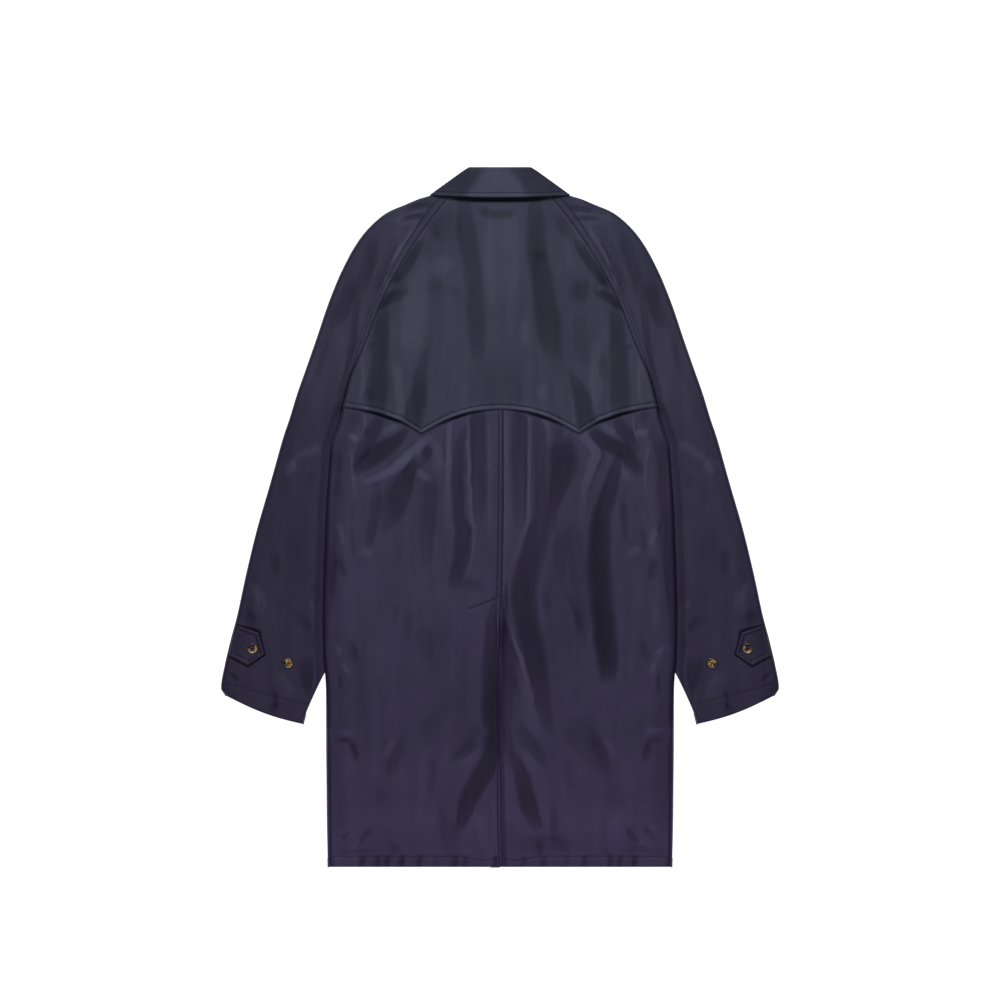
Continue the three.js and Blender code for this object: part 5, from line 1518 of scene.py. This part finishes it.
def collar_stand():
    """The stand under the leaf, from the roll down to the neck seam."""
    u, side, v, roll, along, facing, _ = leaf_frames(40)
    line = lines_of(STAND_SEAM)
    seam = np.stack([side * line["x"](u), line["y"](u), np.full(len(u), COLLAR_MID)], -1)
    seam = seam + facing * line["height"](u)[:, None]
    top = roll + along * 6.6 + facing * (v["height"] - v["depth"] + WALL)[:, None]
    grid = np.array([top + (seam - top) * k for k in np.linspace(0, 1, 8)])
    return shell("collar_stand_cloth", grid, COLLAR_CLOTH, flip=True)


# ---- Build ----

PICTURE = 1000 / 700 * 1000  # millimetres across the picture, of which the coat fills 70 percent
VIEW_RISE = 17 / 700 * 1000  # how far the picture's middle lies above the coat's

camera_data = bpy.data.cameras.new("camera")
camera_data.type = "ORTHO"
camera_data.ortho_scale = PICTURE * MM
camera = bpy.data.objects.new("camera", camera_data)
camera.location = MIDDLE + Vector((0, VIEW_RISE * MM, 3.0))
bpy.context.scene.collection.objects.link(camera)
bpy.context.scene.camera = camera

pieces = {}
sewing = []


def sew(name, surface, line, radius=0.42):
    """A row of stitches along a line in plan, on a finished piece."""
    sewing.append(stitches(name, surface.at(line), THREAD, radius=radius))


for side, hand in HANDS.items():
    pieces[f"back_{hand}"] = back_panel(side)
    pieces[f"front_{hand}"] = front_panel(side)
    sleeve, seam_line, cuff_line = sleeve_back(side)
    pieces[f"sleeve_back_{hand}"] = sleeve
    pieces[f"sleeve_front_{hand}"] = sleeve_front(side)
    on_sleeve = Surface(sleeve)
    pieces[f"cuff_tab_{hand}"] = cuff_tab(side, on_sleeve)
    sew(f"raglan_stitches_{hand}", on_sleeve, seam_line, radius=0.36)
    sew(f"cuff_stitches_{hand}", on_sleeve, cuff_line, radius=0.3)
    on_tab = Surface(pieces[f"cuff_tab_{hand}"])
    sew(f"tab_stitches_{hand}", on_tab, tab_stitch_line() * (side, 1), radius=0.32)
pieces["back_yoke"] = yoke()
pieces["collar_leaf"] = collar_leaf()
pieces["collar_stand"] = collar_stand()

edge_x = steps(-219, 219, 1.5)
sew("yoke_stitches", Surface(pieces["back_yoke"]), pairs(edge_x, yoke_stitch(edge_x)))
on_back = Surface(pieces["back_left"], pieces["back_right"])
down = steps(148, -112, 2)
sew("centre_stitches", on_back, pairs(centre_seam(down) - CENTRE_STITCH, down))
slant_x = steps(VENT_STITCH["x"][1], VENT_STITCH["x"][0], 1.5)
sew("vent_stitches", on_back, pairs(slant_x, np.interp(slant_x, VENT_STITCH["x"], VENT_STITCH["y"])))
for side, hand in HANDS.items():
    xs = steps(4, 244, 2)
    sew(f"hem_stitches_{hand}", on_back, pairs(side * xs, HEM_Y + hem_line(xs)), radius=0.36)
xs = steps(-90, 90, 2)
leaf_edge = np.interp(np.abs(xs), LEAF["edge_x"][:6], LEAF["edge_y"][:6])
sew("collar_stitches", Surface(pieces["collar_leaf"]), pairs(xs, leaf_edge + COLLAR_STITCH))

for node, piece in pieces.items():
    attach(piece, "root")
    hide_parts(node)
for piece in sewing:
    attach(piece, "root")
for node in BUTTONS:
    body, sewn = button(node)
    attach(body, "root")
    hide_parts(node)
    for piece in sewn:
        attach(piece, "root")

# ---- Floor and light ----

FLOOR = 20.0  # half of the floor's width, in metres
FLOOR_GAP = 0.0004  # how far it lies below the coat, in metres

floor_mesh = bpy.data.meshes.new("floor")
corners = [(-FLOOR, -FLOOR, 0), (FLOOR, -FLOOR, 0), (FLOOR, FLOOR, 0), (-FLOOR, FLOOR, 0)]
floor_mesh.from_pydata(corners, [], [(0, 1, 2, 3)])
floor_mesh.materials.append(floor_material())
floor = bpy.data.objects.new("floor", floor_mesh)
floor.location = MIDDLE - Vector((0, 0, FLOOR_GAP))
bpy.context.scene.collection.objects.link(floor)


def area_light(name, place, target, width, height, power, colour=(1, 1, 1)):
    """A rectangular light at place that looks at target; metres and watts."""
    data = bpy.data.lights.new(name, "AREA")
    data.shape = "RECTANGLE"
    data.size, data.size_y = width, height
    data.energy = power
    data.color = colour
    light = bpy.data.objects.new(name, data)
    light.location = place
    light.visible_camera = False
    light.rotation_euler = (Vector(target) - Vector(place)).to_track_quat("-Z", "Y").to_euler()
    bpy.context.scene.collection.objects.link(light)


area_light("overhead", (0.05, 0.55, 2.3), (0, 0.05, 0), 1.0, 1.8, 15.2)
area_light("key", (-0.3, 2.2, 1.5), (0, 0.1, 0), 0.9, 0.6, 12)
area_light("low", (0, -0.9, 2.1), (0, -0.4, 0), 1.0, 0.5, 4.6, (0.84, 0.76, 1.0))

world = bpy.data.worlds.new("studio")
world.use_nodes = True
world.node_tree.nodes["Background"].inputs["Color"].default_value = (0.95, 0.96, 1.0, 1)
world.node_tree.nodes["Background"].inputs["Strength"].default_value = 0.06
bpy.context.scene.world = world
bpy.context.scene.view_settings.view_transform = "Standard"
bpy.context.scene.view_settings.look = "None"
